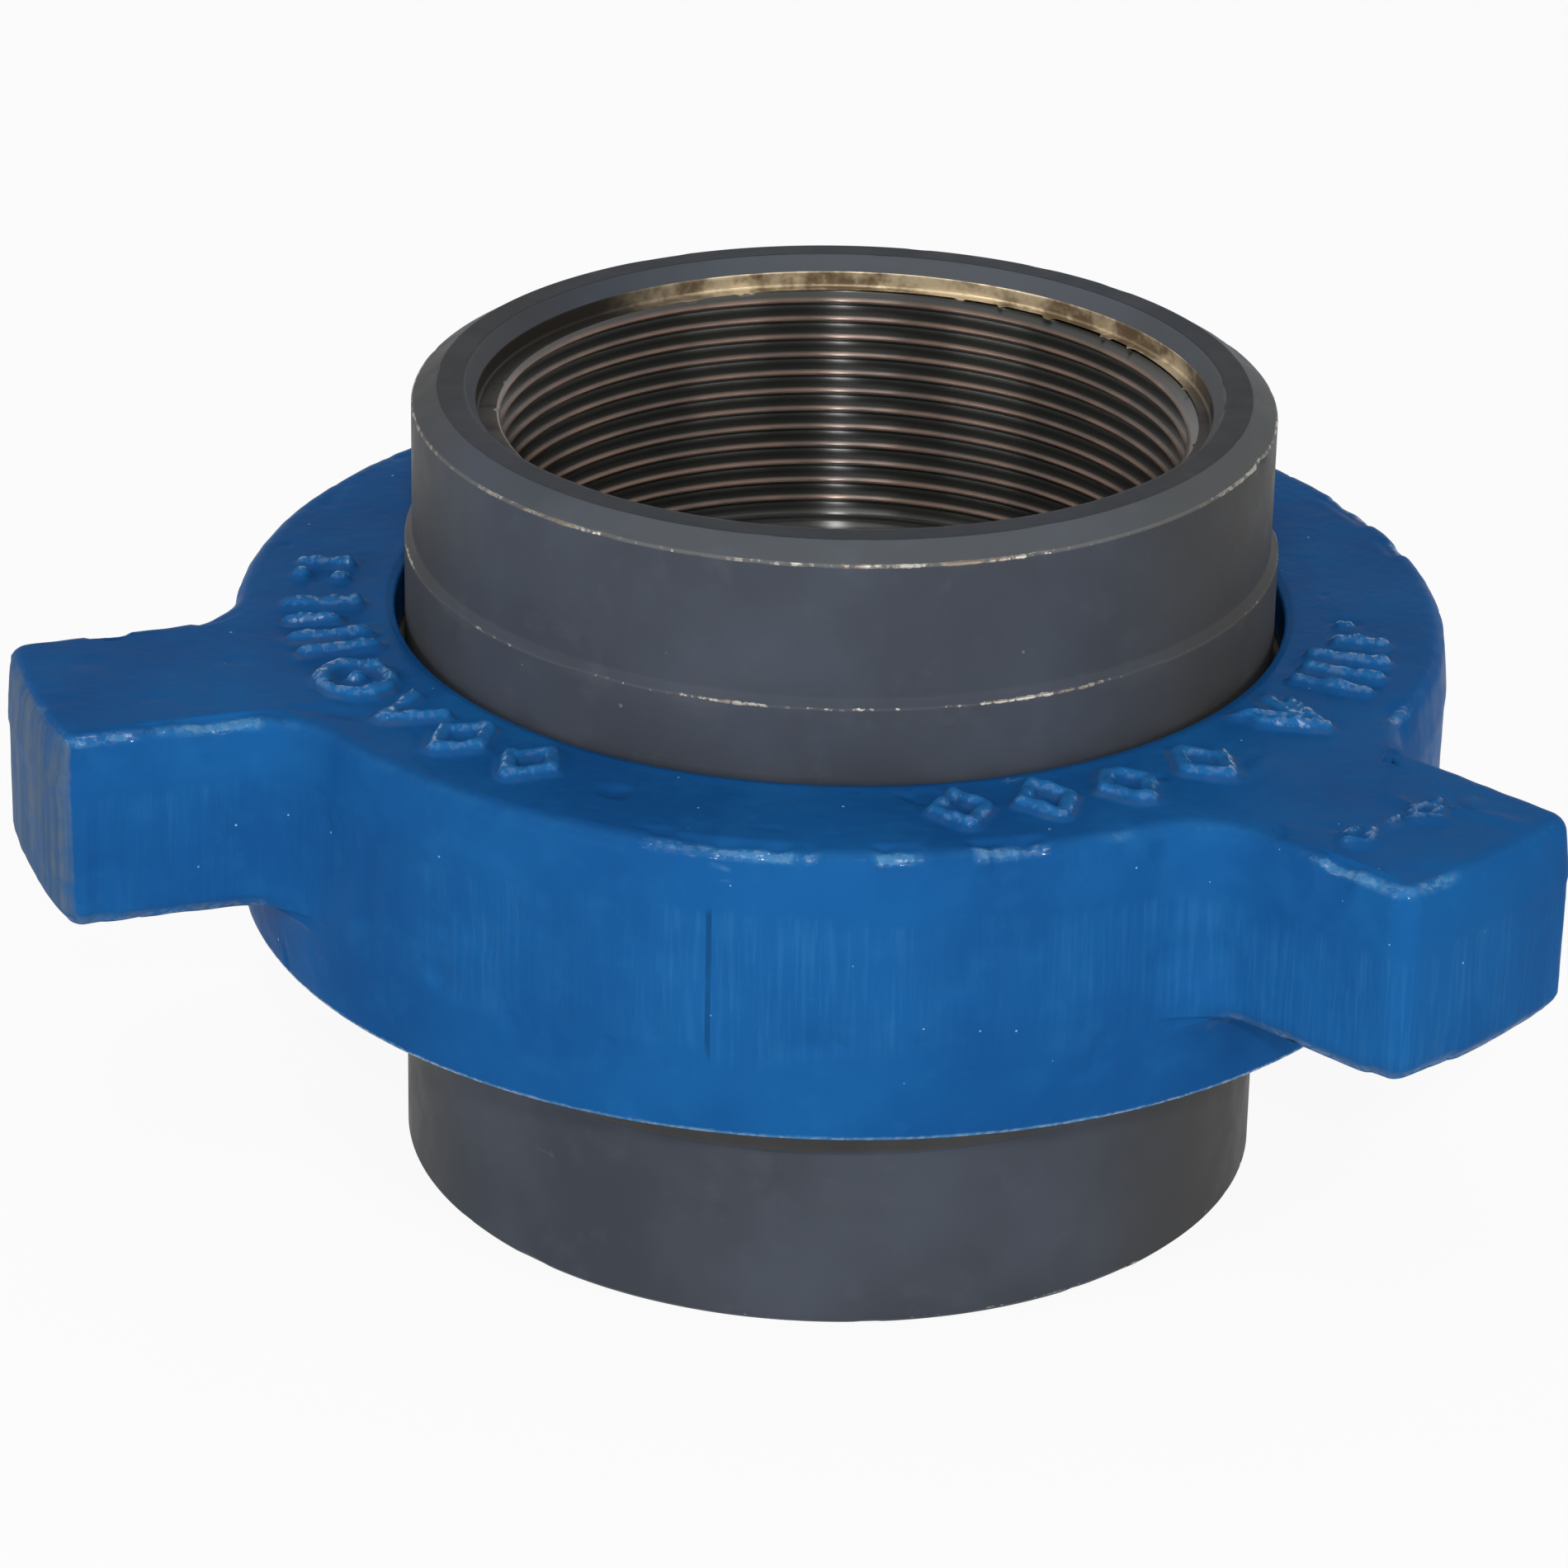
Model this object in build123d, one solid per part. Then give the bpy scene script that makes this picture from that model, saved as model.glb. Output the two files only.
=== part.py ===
from build123d import *
import os
from math import cos, radians, sin, sqrt, tan

# Hammer union for 4 inch line pipe: two pipe subs drawn together by a wing nut with three lugs.
# Millimetres, +Z up along the flow bore. The origin is the centre of the threaded sub's
# bottom face, on which the made-up union stands, and one lug points along +Y.
#
# From the bottom up: the threaded sub carries an external thread on its head and a conical
# seat inside it. The male sub's ball nose sits in that seat. The nut's lip bears on the
# male sub's collar, and the nut's thread pulls the collar down. The seal is metal to metal.
# Thread helices are fine detail: here each thread is its own pitch cylinder or pitch cone.

# ---------------------------------------------------------------- driving sizes
# Radii are built outwards from the flow bore by walls and clearances, and heights down
# from the male sub's end face, so the fits hold when one of these sizes is changed.
flow_radius = 51.1
overall_height = 131.0

# Pipe socket, the same at both ends: line pipe thread, taper 1 in 16 on diameter
pipe_thread_step = 4.6
pipe_thread_length = 43.0
pipe_thread_taper = 1 / 32
pipe_thread_runout = 4.0
recess_step = 2.65
recess_depth = 2.5
mouth_bevel_width = 1.95
mouth_bevel_depth = 2.5

# Male sub
male_socket_wall = 10.25
male_end_length = 36.7
male_step_from_end = 24.2
neck_step = 1.2
neck_root_radius = 1.0
collar_bearing = 6.0
collar_thickness = 8.0
collar_chamfer = 1.0
collar_to_head_gap = 1.3
top_chamfer_width = 4.0
top_chamfer_height = 2.6

# Threaded sub
threaded_socket_wall = 11.5
threaded_body_chamfer = 1.0
threaded_step_height = 30.2
threaded_step_width = 1.2
shoulder_root_radius = 2.5
head_length = 26.5
head_entry_chamfer = 3.0
head_back_chamfer = 2.5

# Screw thread between the nut and the threaded sub
screw_clearance = 0.2
screw_depth = 3.4

# Metal-to-metal seat: a cone in the threaded sub's head, and the ball nose that meets it
seat_angle = 45.0
seat_mouth_step = 18.9
seat_contact_step = 9.9
seat_gap = 0.3
ball_mouth_clearance = 2.0
nose_end_wall = 2.9
nose_bore_chamfer = 0.8

# Wing nut
nut_height = 47.8
nut_wall = 17.9
rim_draft = 1.4
rim_fillet = 1.2
lip_thickness = 9.0
lip_clearance = 1.6
lip_top_fillet = 1.4
lip_bottom_chamfer = 0.8
collar_clearance = 0.9
relief_width = 6.0
relief_margin = 0.7
thread_entry_bevel = 3.0

# Lugs, forged on the nut's rim and level with its face
lug_count = 3
lug_first_angle = 90.0
lug_length = 35.4
lug_tip_width = 37.0
lug_root_width = 41.0
lug_height = 32.3
lug_root_radius = 13.0
lug_corner_radius = 4.5
forging_edge = 3.0
forging_draft = 4.0
draft_height = 9.5
under_edge_height = 3.0
under_edge_draft = 35.0

# ---------------------------------------------------------------- sizes that follow
pipe_thread_radius = flow_radius + pipe_thread_step
recess_radius = pipe_thread_radius + recess_step
threaded_body_radius = recess_radius + threaded_socket_wall
male_body_radius = recess_radius + male_socket_wall
neck_radius = male_body_radius + neck_step
lip_radius = neck_radius + lip_clearance
collar_radius = lip_radius + collar_bearing
nut_thread_radius = collar_radius + collar_clearance + screw_depth / 2
head_thread_radius = nut_thread_radius - 2 * screw_clearance
relief_radius = nut_thread_radius + screw_depth / 2 + relief_margin
nut_radius = nut_thread_radius + nut_wall
lug_reach = nut_radius + lug_length

nut_face = overall_height - male_end_length
nut_bottom = nut_face - nut_height
lip_underside = nut_face - lip_thickness
lug_underside = nut_face - lug_height
collar_underside = lip_underside - collar_thickness
male_step_height = overall_height - male_step_from_end
head_height = collar_underside - collar_to_head_gap
shoulder_height = head_height - head_length

seat_mouth_radius = flow_radius + seat_mouth_step
seat_contact_radius = flow_radius + seat_contact_step
ball_outer_radius = seat_mouth_radius - ball_mouth_clearance
nose_end_radius = flow_radius + nose_end_wall
seat_slope = tan(radians(seat_angle))
seat_contact_height = head_height - (seat_mouth_radius - seat_contact_radius) / seat_slope
ball_radius = seat_contact_radius / cos(radians(seat_angle))
ball_centre = seat_contact_height + seat_contact_radius * seat_slope + seat_gap / sin(radians(seat_angle))


def ball_height(radius):
    """Height of the ball nose's surface at this radius."""
    return ball_centre - sqrt(ball_radius**2 - radius**2)


def seat_height(radius):
    """Height of the conical seat's surface at this radius."""
    return head_height - (seat_mouth_radius - radius) / seat_slope


def line_through(points):
    """Straight edges in the XZ plane through (radius, height) points."""
    return Polyline(*[(radius, 0, height) for radius, height in points])


def turned(*edges):
    """The solid that a closed half section makes when it is turned about the bore."""
    return revolve(make_face(edges), Axis.Z, 360)


def socket_points(end_face, inward):
    """Half section of a pipe socket's wall, from the end face in to the flow bore."""
    bevel_end = end_face + inward * mouth_bevel_depth
    thread_start = bevel_end + inward * recess_depth
    thread_end = thread_start + inward * pipe_thread_length
    end_radius = pipe_thread_radius - pipe_thread_taper * pipe_thread_length
    return [
        (recess_radius + mouth_bevel_width, end_face),
        (recess_radius, bevel_end),
        (recess_radius, thread_start),
        (pipe_thread_radius, thread_start),
        (end_radius, thread_end),
        (flow_radius, thread_end + inward * pipe_thread_runout),
    ]


def edges_round_bore(solid, radius, height):
    """A solid's full circular edges about the bore at this radius and height."""
    near = 1e-3
    circles = solid.edges().filter_by(GeomType.CIRCLE)
    return circles.filter_by(
        lambda edge: abs(edge.radius - radius) < near and abs(edge.arc_center.Z - height) < near
    )


def make_threaded_sub():
    """The lower sub: pipe socket, stepped body, threaded head and conical seat."""
    neck = threaded_body_radius + threaded_step_width
    step_top = threaded_step_height + threaded_step_width
    seat_bottom = seat_height(flow_radius)
    outside = [
        (threaded_body_radius - threaded_body_chamfer, 0),
        (threaded_body_radius, threaded_body_chamfer),
        (threaded_body_radius, threaded_step_height),
        (neck, step_top),
        (neck, shoulder_height),
        (head_thread_radius - head_back_chamfer, shoulder_height),
        (head_thread_radius, shoulder_height + head_back_chamfer),
        (head_thread_radius, head_height - head_entry_chamfer),
        (head_thread_radius - head_entry_chamfer, head_height),
        (seat_mouth_radius, head_height),
    ]
    inside = [(flow_radius, seat_bottom)] + socket_points(0, 1)[::-1]
    loop = outside + inside
    sub = turned(line_through(loop + loop[:1]))
    return fillet(edges_round_bore(sub, neck, shoulder_height), shoulder_root_radius)


def make_male_sub():
    """The upper sub: ball nose, collar, neck, stepped body and pipe socket."""
    step_bottom = male_step_height - (neck_radius - male_body_radius)
    ball_top = ball_height(ball_outer_radius)
    nose_end = ball_height(nose_end_radius)
    above_ball = [
        (ball_outer_radius, ball_top),
        (ball_outer_radius, collar_underside),
        (collar_radius - collar_chamfer, collar_underside),
        (collar_radius, collar_underside + collar_chamfer),
        (collar_radius, lip_underside - collar_chamfer),
        (collar_radius - collar_chamfer, lip_underside),
        (neck_radius, lip_underside),
        (neck_radius, step_bottom),
        (male_body_radius, male_step_height),
        (male_body_radius, overall_height - top_chamfer_height),
        (male_body_radius - top_chamfer_width, overall_height),
    ]
    below_socket = [
        (flow_radius, nose_end + nose_bore_chamfer),
        (flow_radius + nose_bore_chamfer, nose_end),
        (nose_end_radius, nose_end),
    ]
    ball_middle_radius = (ball_outer_radius + nose_end_radius) / 2
    ball = ThreePointArc(
        (nose_end_radius, 0, nose_end),
        (ball_middle_radius, 0, ball_height(ball_middle_radius)),
        (ball_outer_radius, 0, ball_top),
    )
    rest = line_through(above_ball + socket_points(overall_height, -1) + below_socket)
    sub = turned(ball, rest)
    return fillet(edges_round_bore(sub, neck_radius, lip_underside), neck_root_radius)


def lug_outline(angle):
    """One lug in plan, as wide as its root at the nut's rim, before its corners are rounded."""
    root_at = nut_radius * 0.8
    half_root = lug_root_width / 2
    half_tip = lug_tip_width / 2
    past_tip = lug_reach + lug_corner_radius
    lug = make_face(
        Polyline(
            (root_at, -half_root),
            (past_tip, -half_tip),
            (past_tip, half_tip),
            (root_at, half_root),
            close=True,
        )
    )
    return lug.rotate(Axis.Z, angle)


def nut_outline():
    """The nut's face in plan: a disc with three lugs, with rounded roots and tips."""
    outline = Circle(nut_radius)
    for number in range(lug_count):
        outline += lug_outline(lug_first_angle + number * 360 / lug_count)
    outline &= Circle(lug_reach)
    roots = outline.vertices().filter_by(lambda v: Vector(v).length < nut_radius + 1)
    outline = fillet(roots, lug_root_radius)
    tips = outline.vertices().filter_by(lambda v: Vector(v).length > lug_reach - 1)
    return fillet(tips, lug_corner_radius)


def make_wing_nut():
    """The nut: lugged forging with a drafted top band, bored for the thread and the lip."""
    outline = nut_outline()
    band_top = nut_face - draft_height
    band_bottom = lug_underside + under_edge_height
    foot = extrude(
        Plane.XY.offset(band_bottom) * outline, under_edge_height, dir=(0, 0, -1), taper=under_edge_draft
    )
    band = extrude(Plane.XY.offset(band_bottom) * outline, band_top - band_bottom)
    crown = extrude(Plane.XY.offset(band_top) * outline, draft_height, taper=forging_draft)
    rim_points = [
        (0, nut_bottom),
        (nut_radius - rim_draft, nut_bottom),
        (nut_radius, band_bottom),
        (nut_radius, band_top),
        (0, band_top),
        (0, nut_bottom),
    ]
    forging = foot + band + crown + turned(line_through(rim_points))
    face_edges = forging.faces().sort_by(Axis.Z)[-1].edges()
    forging = fillet(face_edges, forging_edge)
    rim_edges = edges_round_bore(forging, nut_radius - rim_draft, nut_bottom)
    forging = fillet(rim_edges, rim_fillet)

    relief_bottom = lip_underside - relief_width
    relief_step = relief_radius - nut_thread_radius
    bore_points = [
        (0, nut_bottom - 1),
        (nut_thread_radius + thread_entry_bevel + 1, nut_bottom - 1),
        (nut_thread_radius, nut_bottom + thread_entry_bevel),
        (nut_thread_radius, relief_bottom - relief_step),
        (relief_radius, relief_bottom),
        (relief_radius, lip_underside),
        (lip_radius + lip_bottom_chamfer, lip_underside),
        (lip_radius, lip_underside + lip_bottom_chamfer),
        (lip_radius, nut_face + 1),
        (0, nut_face + 1),
        (0, nut_bottom - 1),
    ]
    nut = forging - turned(line_through(bore_points))
    return fillet(edges_round_bore(nut, lip_radius, nut_face), lip_top_fillet)


parts = {
    "threaded_sub": make_threaded_sub(),
    "male_sub": make_male_sub(),
    "wing_nut": make_wing_nut(),
}

os.makedirs("parts", exist_ok=True)
for name, shape in parts.items():
    export_step(shape, os.path.join("parts", name + ".step"))
    box = shape.bounding_box()
    print(name, "volume", round(shape.volume), "mm3, height", round(box.min.Z, 2), "to", round(box.max.Z, 2))
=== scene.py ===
# %% Load the model frame
import math
import bmesh
import bpy
import numpy as np
from mathutils import Matrix, Vector


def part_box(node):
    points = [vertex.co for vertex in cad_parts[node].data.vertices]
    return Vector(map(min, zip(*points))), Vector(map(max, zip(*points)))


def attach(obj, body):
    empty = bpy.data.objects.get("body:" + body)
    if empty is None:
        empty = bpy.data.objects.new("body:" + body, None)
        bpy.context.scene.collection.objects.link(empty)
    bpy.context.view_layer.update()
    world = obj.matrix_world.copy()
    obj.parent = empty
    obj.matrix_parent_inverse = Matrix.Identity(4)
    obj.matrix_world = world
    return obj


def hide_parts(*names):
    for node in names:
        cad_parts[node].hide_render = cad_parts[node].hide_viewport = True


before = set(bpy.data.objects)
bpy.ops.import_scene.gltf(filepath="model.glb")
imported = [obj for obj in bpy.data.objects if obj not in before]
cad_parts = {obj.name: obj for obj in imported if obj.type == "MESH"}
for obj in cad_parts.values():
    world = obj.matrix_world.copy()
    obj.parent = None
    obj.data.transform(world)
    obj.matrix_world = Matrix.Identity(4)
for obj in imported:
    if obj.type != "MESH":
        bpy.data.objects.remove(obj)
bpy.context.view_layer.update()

MM = 0.001

# %% [markdown]
# The camera stands about a metre away with a long lens, as for a catalogue picture, and
# looks down into the upper socket. A long lens keeps the rims' ellipses calm. The small
# roll and shift belong to the framing: the union leans a little and sits off centre.

# %% Camera
AIM = Vector((0, 0, 69.5 * MM))
CAMERA_DISTANCE = 1005.2 * MM
CAMERA_RISE, CAMERA_SIDE = 24.3, -79.5
CAMERA_ROLL = math.radians(1.36)


def facing_aim(side, rise, distance):
    """A place at this side angle and rise in degrees, turned to look at the aim point."""
    side, rise = math.radians(side), math.radians(rise)
    direction = Vector((
        math.cos(rise) * math.cos(side),
        math.cos(rise) * math.sin(side),
        math.sin(rise),
    ))
    looking = (-direction).to_track_quat("-Z", "Y").to_matrix().to_4x4()
    return Matrix.Translation(AIM + direction * distance) @ looking


camera_data = bpy.data.cameras.new("camera")
camera_data.sensor_width = 36.0
camera_data.lens = 142.1
camera_data.shift_x = -0.0336
camera_data.shift_y = -0.0295
camera_data.clip_start = 0.05
camera_data.clip_end = 20.0
camera = bpy.data.objects.new("camera", camera_data)
bpy.context.scene.collection.objects.link(camera)
roll = Matrix.Rotation(CAMERA_ROLL, 4, "Z")
camera.matrix_world = facing_aim(CAMERA_SIDE, CAMERA_RISE, CAMERA_DISTANCE) @ roll
bpy.context.scene.camera = camera
bpy.context.scene.view_settings.view_transform = "Standard"
print("camera at", [round(c, 3) for c in camera.location])

# %% [markdown]
# Worn metal is uneven everywhere, so many steps below need a smooth random value that is
# the same on each run. This one hashes the corners of a lattice and blends between them.

# %% Repeatable noise and smooth steps
def smooth(low, high, value):
    """0 below low, 1 above high and a soft curve between."""
    share = np.clip((value - low) / (high - low), 0.0, 1.0)
    return share * share * (3.0 - 2.0 * share)


def hashed(x, y, z, seed):
    """A random number from 0 to 1 for each lattice corner."""
    mixed = x * 374761393 + y * 668265263 + z * 2147483647 + seed * 1274126177
    mixed = (mixed ^ (mixed >> 13)) * 1103515245
    mixed = mixed ^ (mixed >> 16)
    return (mixed & 0xFFFF) / 65535.0


def noise(points, size, seed):
    """Smooth noise from -1 to 1 at points (n, 3), whose bumps are about one size across."""
    scaled = np.asarray(points, float) / size
    corner = np.floor(scaled).astype(np.int64)
    part = scaled - corner
    part = part * part * (3.0 - 2.0 * part)
    total = np.zeros(len(scaled))
    for dx in (0, 1):
        for dy in (0, 1):
            for dz in (0, 1):
                weight = np.where(dx, part[:, 0], 1 - part[:, 0])
                weight = weight * np.where(dy, part[:, 1], 1 - part[:, 1])
                weight = weight * np.where(dz, part[:, 2], 1 - part[:, 2])
                total += weight * hashed(corner[:, 0] + dx, corner[:, 1] + dy, corner[:, 2] + dz, seed)
    return total * 2.0 - 1.0


def layered(points, size, seed, layers=3):
    """Noise with finer noise on top of it."""
    total = sum(noise(points, size / 2**k, seed + 17 * k) / 2**k for k in range(layers))
    return total / (2.0 - 0.5 ** (layers - 1))


print("noise check", round(float(noise(np.array([[0.3, 0.4, 0.5]]), 1.0, 1)[0]), 4))

# %% [markdown]
# Both subs are turned on a lathe, so each is a half section swept round the bore. The
# section is a list of corners. Each corner gets a small radius, because no real edge is
# sharp, and a mark that says how much its paint is worn. A table of rows comes out.

# %% Half sections with rounded corners
GUARD = 0.5


def rounded_section(corners):
    """Rows (radius, height, wear, finish) along corners (r, z, round, rows after, wear, finish)."""
    rows = []
    count = len(corners)
    places = [np.array(c[:2], float) for c in corners]
    ends = []
    for i, corner in enumerate(corners):
        if corner[2] == 0 or i in (0, count - 1):
            ends.append([places[i]])
            continue
        before = places[i - 1] - places[i]
        after = places[i + 1] - places[i]
        before_unit = before / np.linalg.norm(before)
        after_unit = after / np.linalg.norm(after)
        half = 0.5 * math.acos(np.clip(np.dot(before_unit, after_unit), -1, 1))
        setback = corner[2] / math.tan(half)
        steps = 2 if corner[2] < 0.7 else 4
        curve = []
        for k in range(steps + 1):
            t = k / steps
            start = places[i] + before_unit * setback
            stop = places[i] + after_unit * setback
            curve.append((1 - t) ** 2 * start + 2 * t * (1 - t) * places[i] + t**2 * stop)
        ends.append(curve)
    for i, corner in enumerate(corners):
        for place_on in ends[i]:
            rows.append((place_on[0], place_on[1], corner[4], corner[5]))
        if i == count - 1:
            break
        start, stop = ends[i][-1], ends[i + 1][0]
        length = np.linalg.norm(stop - start)
        shares = [k / corner[3] for k in range(1, corner[3])]
        if length > 4 * GUARD:
            shares = [GUARD / length, *shares, 1 - GUARD / length]
        for t in sorted(shares):
            near_start, near_stop = t * length < 1.5 * GUARD, (1 - t) * length < 1.5 * GUARD
            wear = 0.3 * (corner[4] * near_start + corners[i + 1][4] * near_stop)
            middle = start * (1 - t) + stop * t
            rows.append((middle[0], middle[1], wear, corner[5]))
    return rows


# %% [markdown]
# A screw thread is a groove that climbs one pitch each turn. If the mesh rows lay flat,
# they would cut across the groove and its crest would look like beads. So in a threaded
# zone the rows climb with the thread: each row stays on one crest, flank or root, and
# joins the row one pitch higher when it comes round. Rows past the zone's ends are
# squeezed on to the end rings and merged there.

# %% Rings, climbing rows and zipped rings
class Skin:
    """Points with their values, and faces with their finish, gathered patch by patch."""

    def __init__(self):
        self.points, self.wear, self.thread, self.faces, self.finish = [], [], [], [], []

    def add_points(self, points, wear, thread=0.0):
        start = len(self.points)
        self.points.extend(np.asarray(points, float).reshape(-1, 3).tolist())
        number = len(self.points) - start
        self.wear.extend(np.broadcast_to(wear, number).tolist())
        self.thread.extend(np.broadcast_to(thread, number).tolist())
        return np.arange(start, start + number)

    def add_faces(self, faces, finish):
        self.faces.extend(faces)
        self.finish.extend([finish] * len(faces))

    def ring(self, radius, height, columns, wear):
        angle = np.arange(columns) * 2 * math.pi / columns
        points = np.stack([radius * np.cos(angle), radius * np.sin(angle), np.full(columns, height)], 1)
        return self.add_points(points, wear)

    def join_rings(self, first, second, finish):
        """Quads between two rings with the same columns."""
        following = np.roll(np.arange(len(first)), -1)
        quads = np.stack([first, first[following], second[following], second], 1)
        self.add_faces(quads.tolist(), finish)

    def turned(self, rows, columns):
        """Rings for every row of a section, joined. Returns the first ring."""
        rings = [self.ring(r, z, columns, wear) for r, z, wear, _ in rows]
        for k in range(len(rings) - 1):
            self.join_rings(rings[k], rings[k + 1], rows[k][3])
        return rings[0]

    def climbing(self, radius_at, low, high, pitch, phases, columns, finish):
        """A zone from low to high whose rows climb one pitch a turn, one row for each phase."""
        per_turn = len(phases)
        first_turn = math.floor(low / pitch) - 1
        turns = math.ceil(high / pitch) + 1 - first_turn
        lift = np.array([t + p for t in range(turns) for p in phases]) + first_turn
        column = np.arange(columns)
        height = np.clip(pitch * (lift[:, None] + column[None, :] / columns), low, high)
        angle = np.broadcast_to(column * 2 * math.pi / columns, height.shape)
        radius = radius_at(height)
        points = np.stack([radius * np.cos(angle), radius * np.sin(angle), height], 2)
        index = self.add_points(points, 0.0, 1.0).reshape(height.shape)
        quads = [index[:-1, :-1], index[:-1, 1:], index[1:, 1:], index[1:, :-1]]
        faces = np.stack(quads, 2).reshape(-1, 4)
        a, b = index[: -per_turn - 1, -1], index[per_turn:-1, 0]
        c, d = index[per_turn + 1 :, 0], index[1:-per_turn, -1]
        faces = np.concatenate([faces, np.stack([a, b, c, d], 1)])
        z = np.array(self.points)[faces][:, :, 2]
        self.add_faces(faces[np.ptp(z, 1) > 1e-9].tolist(), finish)

    def zip_rings(self, first, second, finish):
        """Triangles between two rings with different columns, matched by angle."""
        points = np.array(self.points)
        turn = []
        for ring in (first, second):
            angle = np.arctan2(points[ring][:, 1], points[ring][:, 0]) % (2 * math.pi)
            order = np.argsort(angle)
            turn.append((ring[order], angle[order]))
        (a, angle_a), (b, angle_b) = turn
        i = j = 0
        faces = []
        while i < len(a) or j < len(b):
            next_a = angle_a[i + 1] if i + 1 < len(a) else angle_a[0] + 2 * math.pi
            next_b = angle_b[j + 1] if j + 1 < len(b) else angle_b[0] + 2 * math.pi
            here_a, here_b = a[i % len(a)], b[j % len(b)]
            if j >= len(b) or (i < len(a) and next_a <= next_b):
                faces.append([here_a, a[(i + 1) % len(a)], here_b])
                i += 1
            else:
                faces.append([here_a, b[(j + 1) % len(b)], here_b])
                j += 1
        self.add_faces(faces, finish)


WELD = 0.004


def make_mesh(name, skin, extra):
    """A mesh object in metres from a skin in millimetres, welded and facing outwards."""
    mesh = bpy.data.meshes.new(name)
    mesh.from_pydata((np.array(skin.points) * MM).tolist(), [], skin.faces)
    for label, numbers in {"wear": skin.wear, "thread_cut": skin.thread, **extra}.items():
        layer = mesh.attributes.new(label, "FLOAT", "POINT")
        layer.data.foreach_set("value", np.asarray(numbers, np.float32))
    layer = mesh.attributes.new("finish", "INT", "FACE")
    layer.data.foreach_set("value", np.asarray(skin.finish, np.int32))
    work = bmesh.new()
    work.from_mesh(mesh)
    bmesh.ops.remove_doubles(work, verts=work.verts, dist=WELD * MM)
    bmesh.ops.dissolve_degenerate(work, edges=work.edges, dist=1e-7)
    bmesh.ops.recalc_face_normals(work, faces=work.faces)
    if work.calc_volume(signed=True) < 0:
        bmesh.ops.reverse_faces(work, faces=work.faces)
    open_edges = sum(1 for edge in work.edges if not edge.is_manifold)
    work.to_mesh(mesh)
    work.free()
    mesh.polygons.foreach_set("use_smooth", [True] * len(mesh.polygons))
    piece = bpy.data.objects.new(name, mesh)
    bpy.context.scene.collection.objects.link(piece)
    triangles = sum(len(p.vertices) - 2 for p in mesh.polygons)
    print(name, triangles, "triangles,", open_edges, "open edges")
    return piece

# %% [markdown]
# Threads and finishes are both made by wiring nodes together. A small helper adds the nodes,
# and its values can be added and multiplied, so that a chain of nodes reads like a formula.
# Colours are written as they look on a screen, from 0 to 255, and turned into the linear
# values that a renderer adds up.

# %% Wiring helper
def colour(red, green, blue):
    """A screen colour as linear values with alpha. No part may be under 11, where the curve is straight."""
    return (*(((c / 255 + 0.055) / 1.055) ** 2.4 for c in (red, green, blue)), 1.0)


class Value:
    """A node's output that can stand in sums."""

    def __init__(self, wire, socket):
        self.wire, self.socket = wire, socket

    def __add__(self, other):
        return self.wire.maths("ADD", self, other)

    def __sub__(self, other):
        return self.wire.maths("SUBTRACT", self, other)

    def __rsub__(self, other):
        return self.wire.maths("SUBTRACT", other, self)

    def __mul__(self, other):
        return self.wire.maths("MULTIPLY", self, other)

    def __truediv__(self, other):
        return self.wire.maths("DIVIDE", self, other)

    def __rtruediv__(self, other):
        return self.wire.maths("DIVIDE", other, self)

    def __lt__(self, other):
        return self.wire.maths("LESS_THAN", self, other)

    def __abs__(self):
        return self.wire.maths("ABSOLUTE", self)

    def clamped(self):
        """The same sum, held between 0 and 1."""
        self.socket.node.use_clamp = True
        return self


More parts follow.
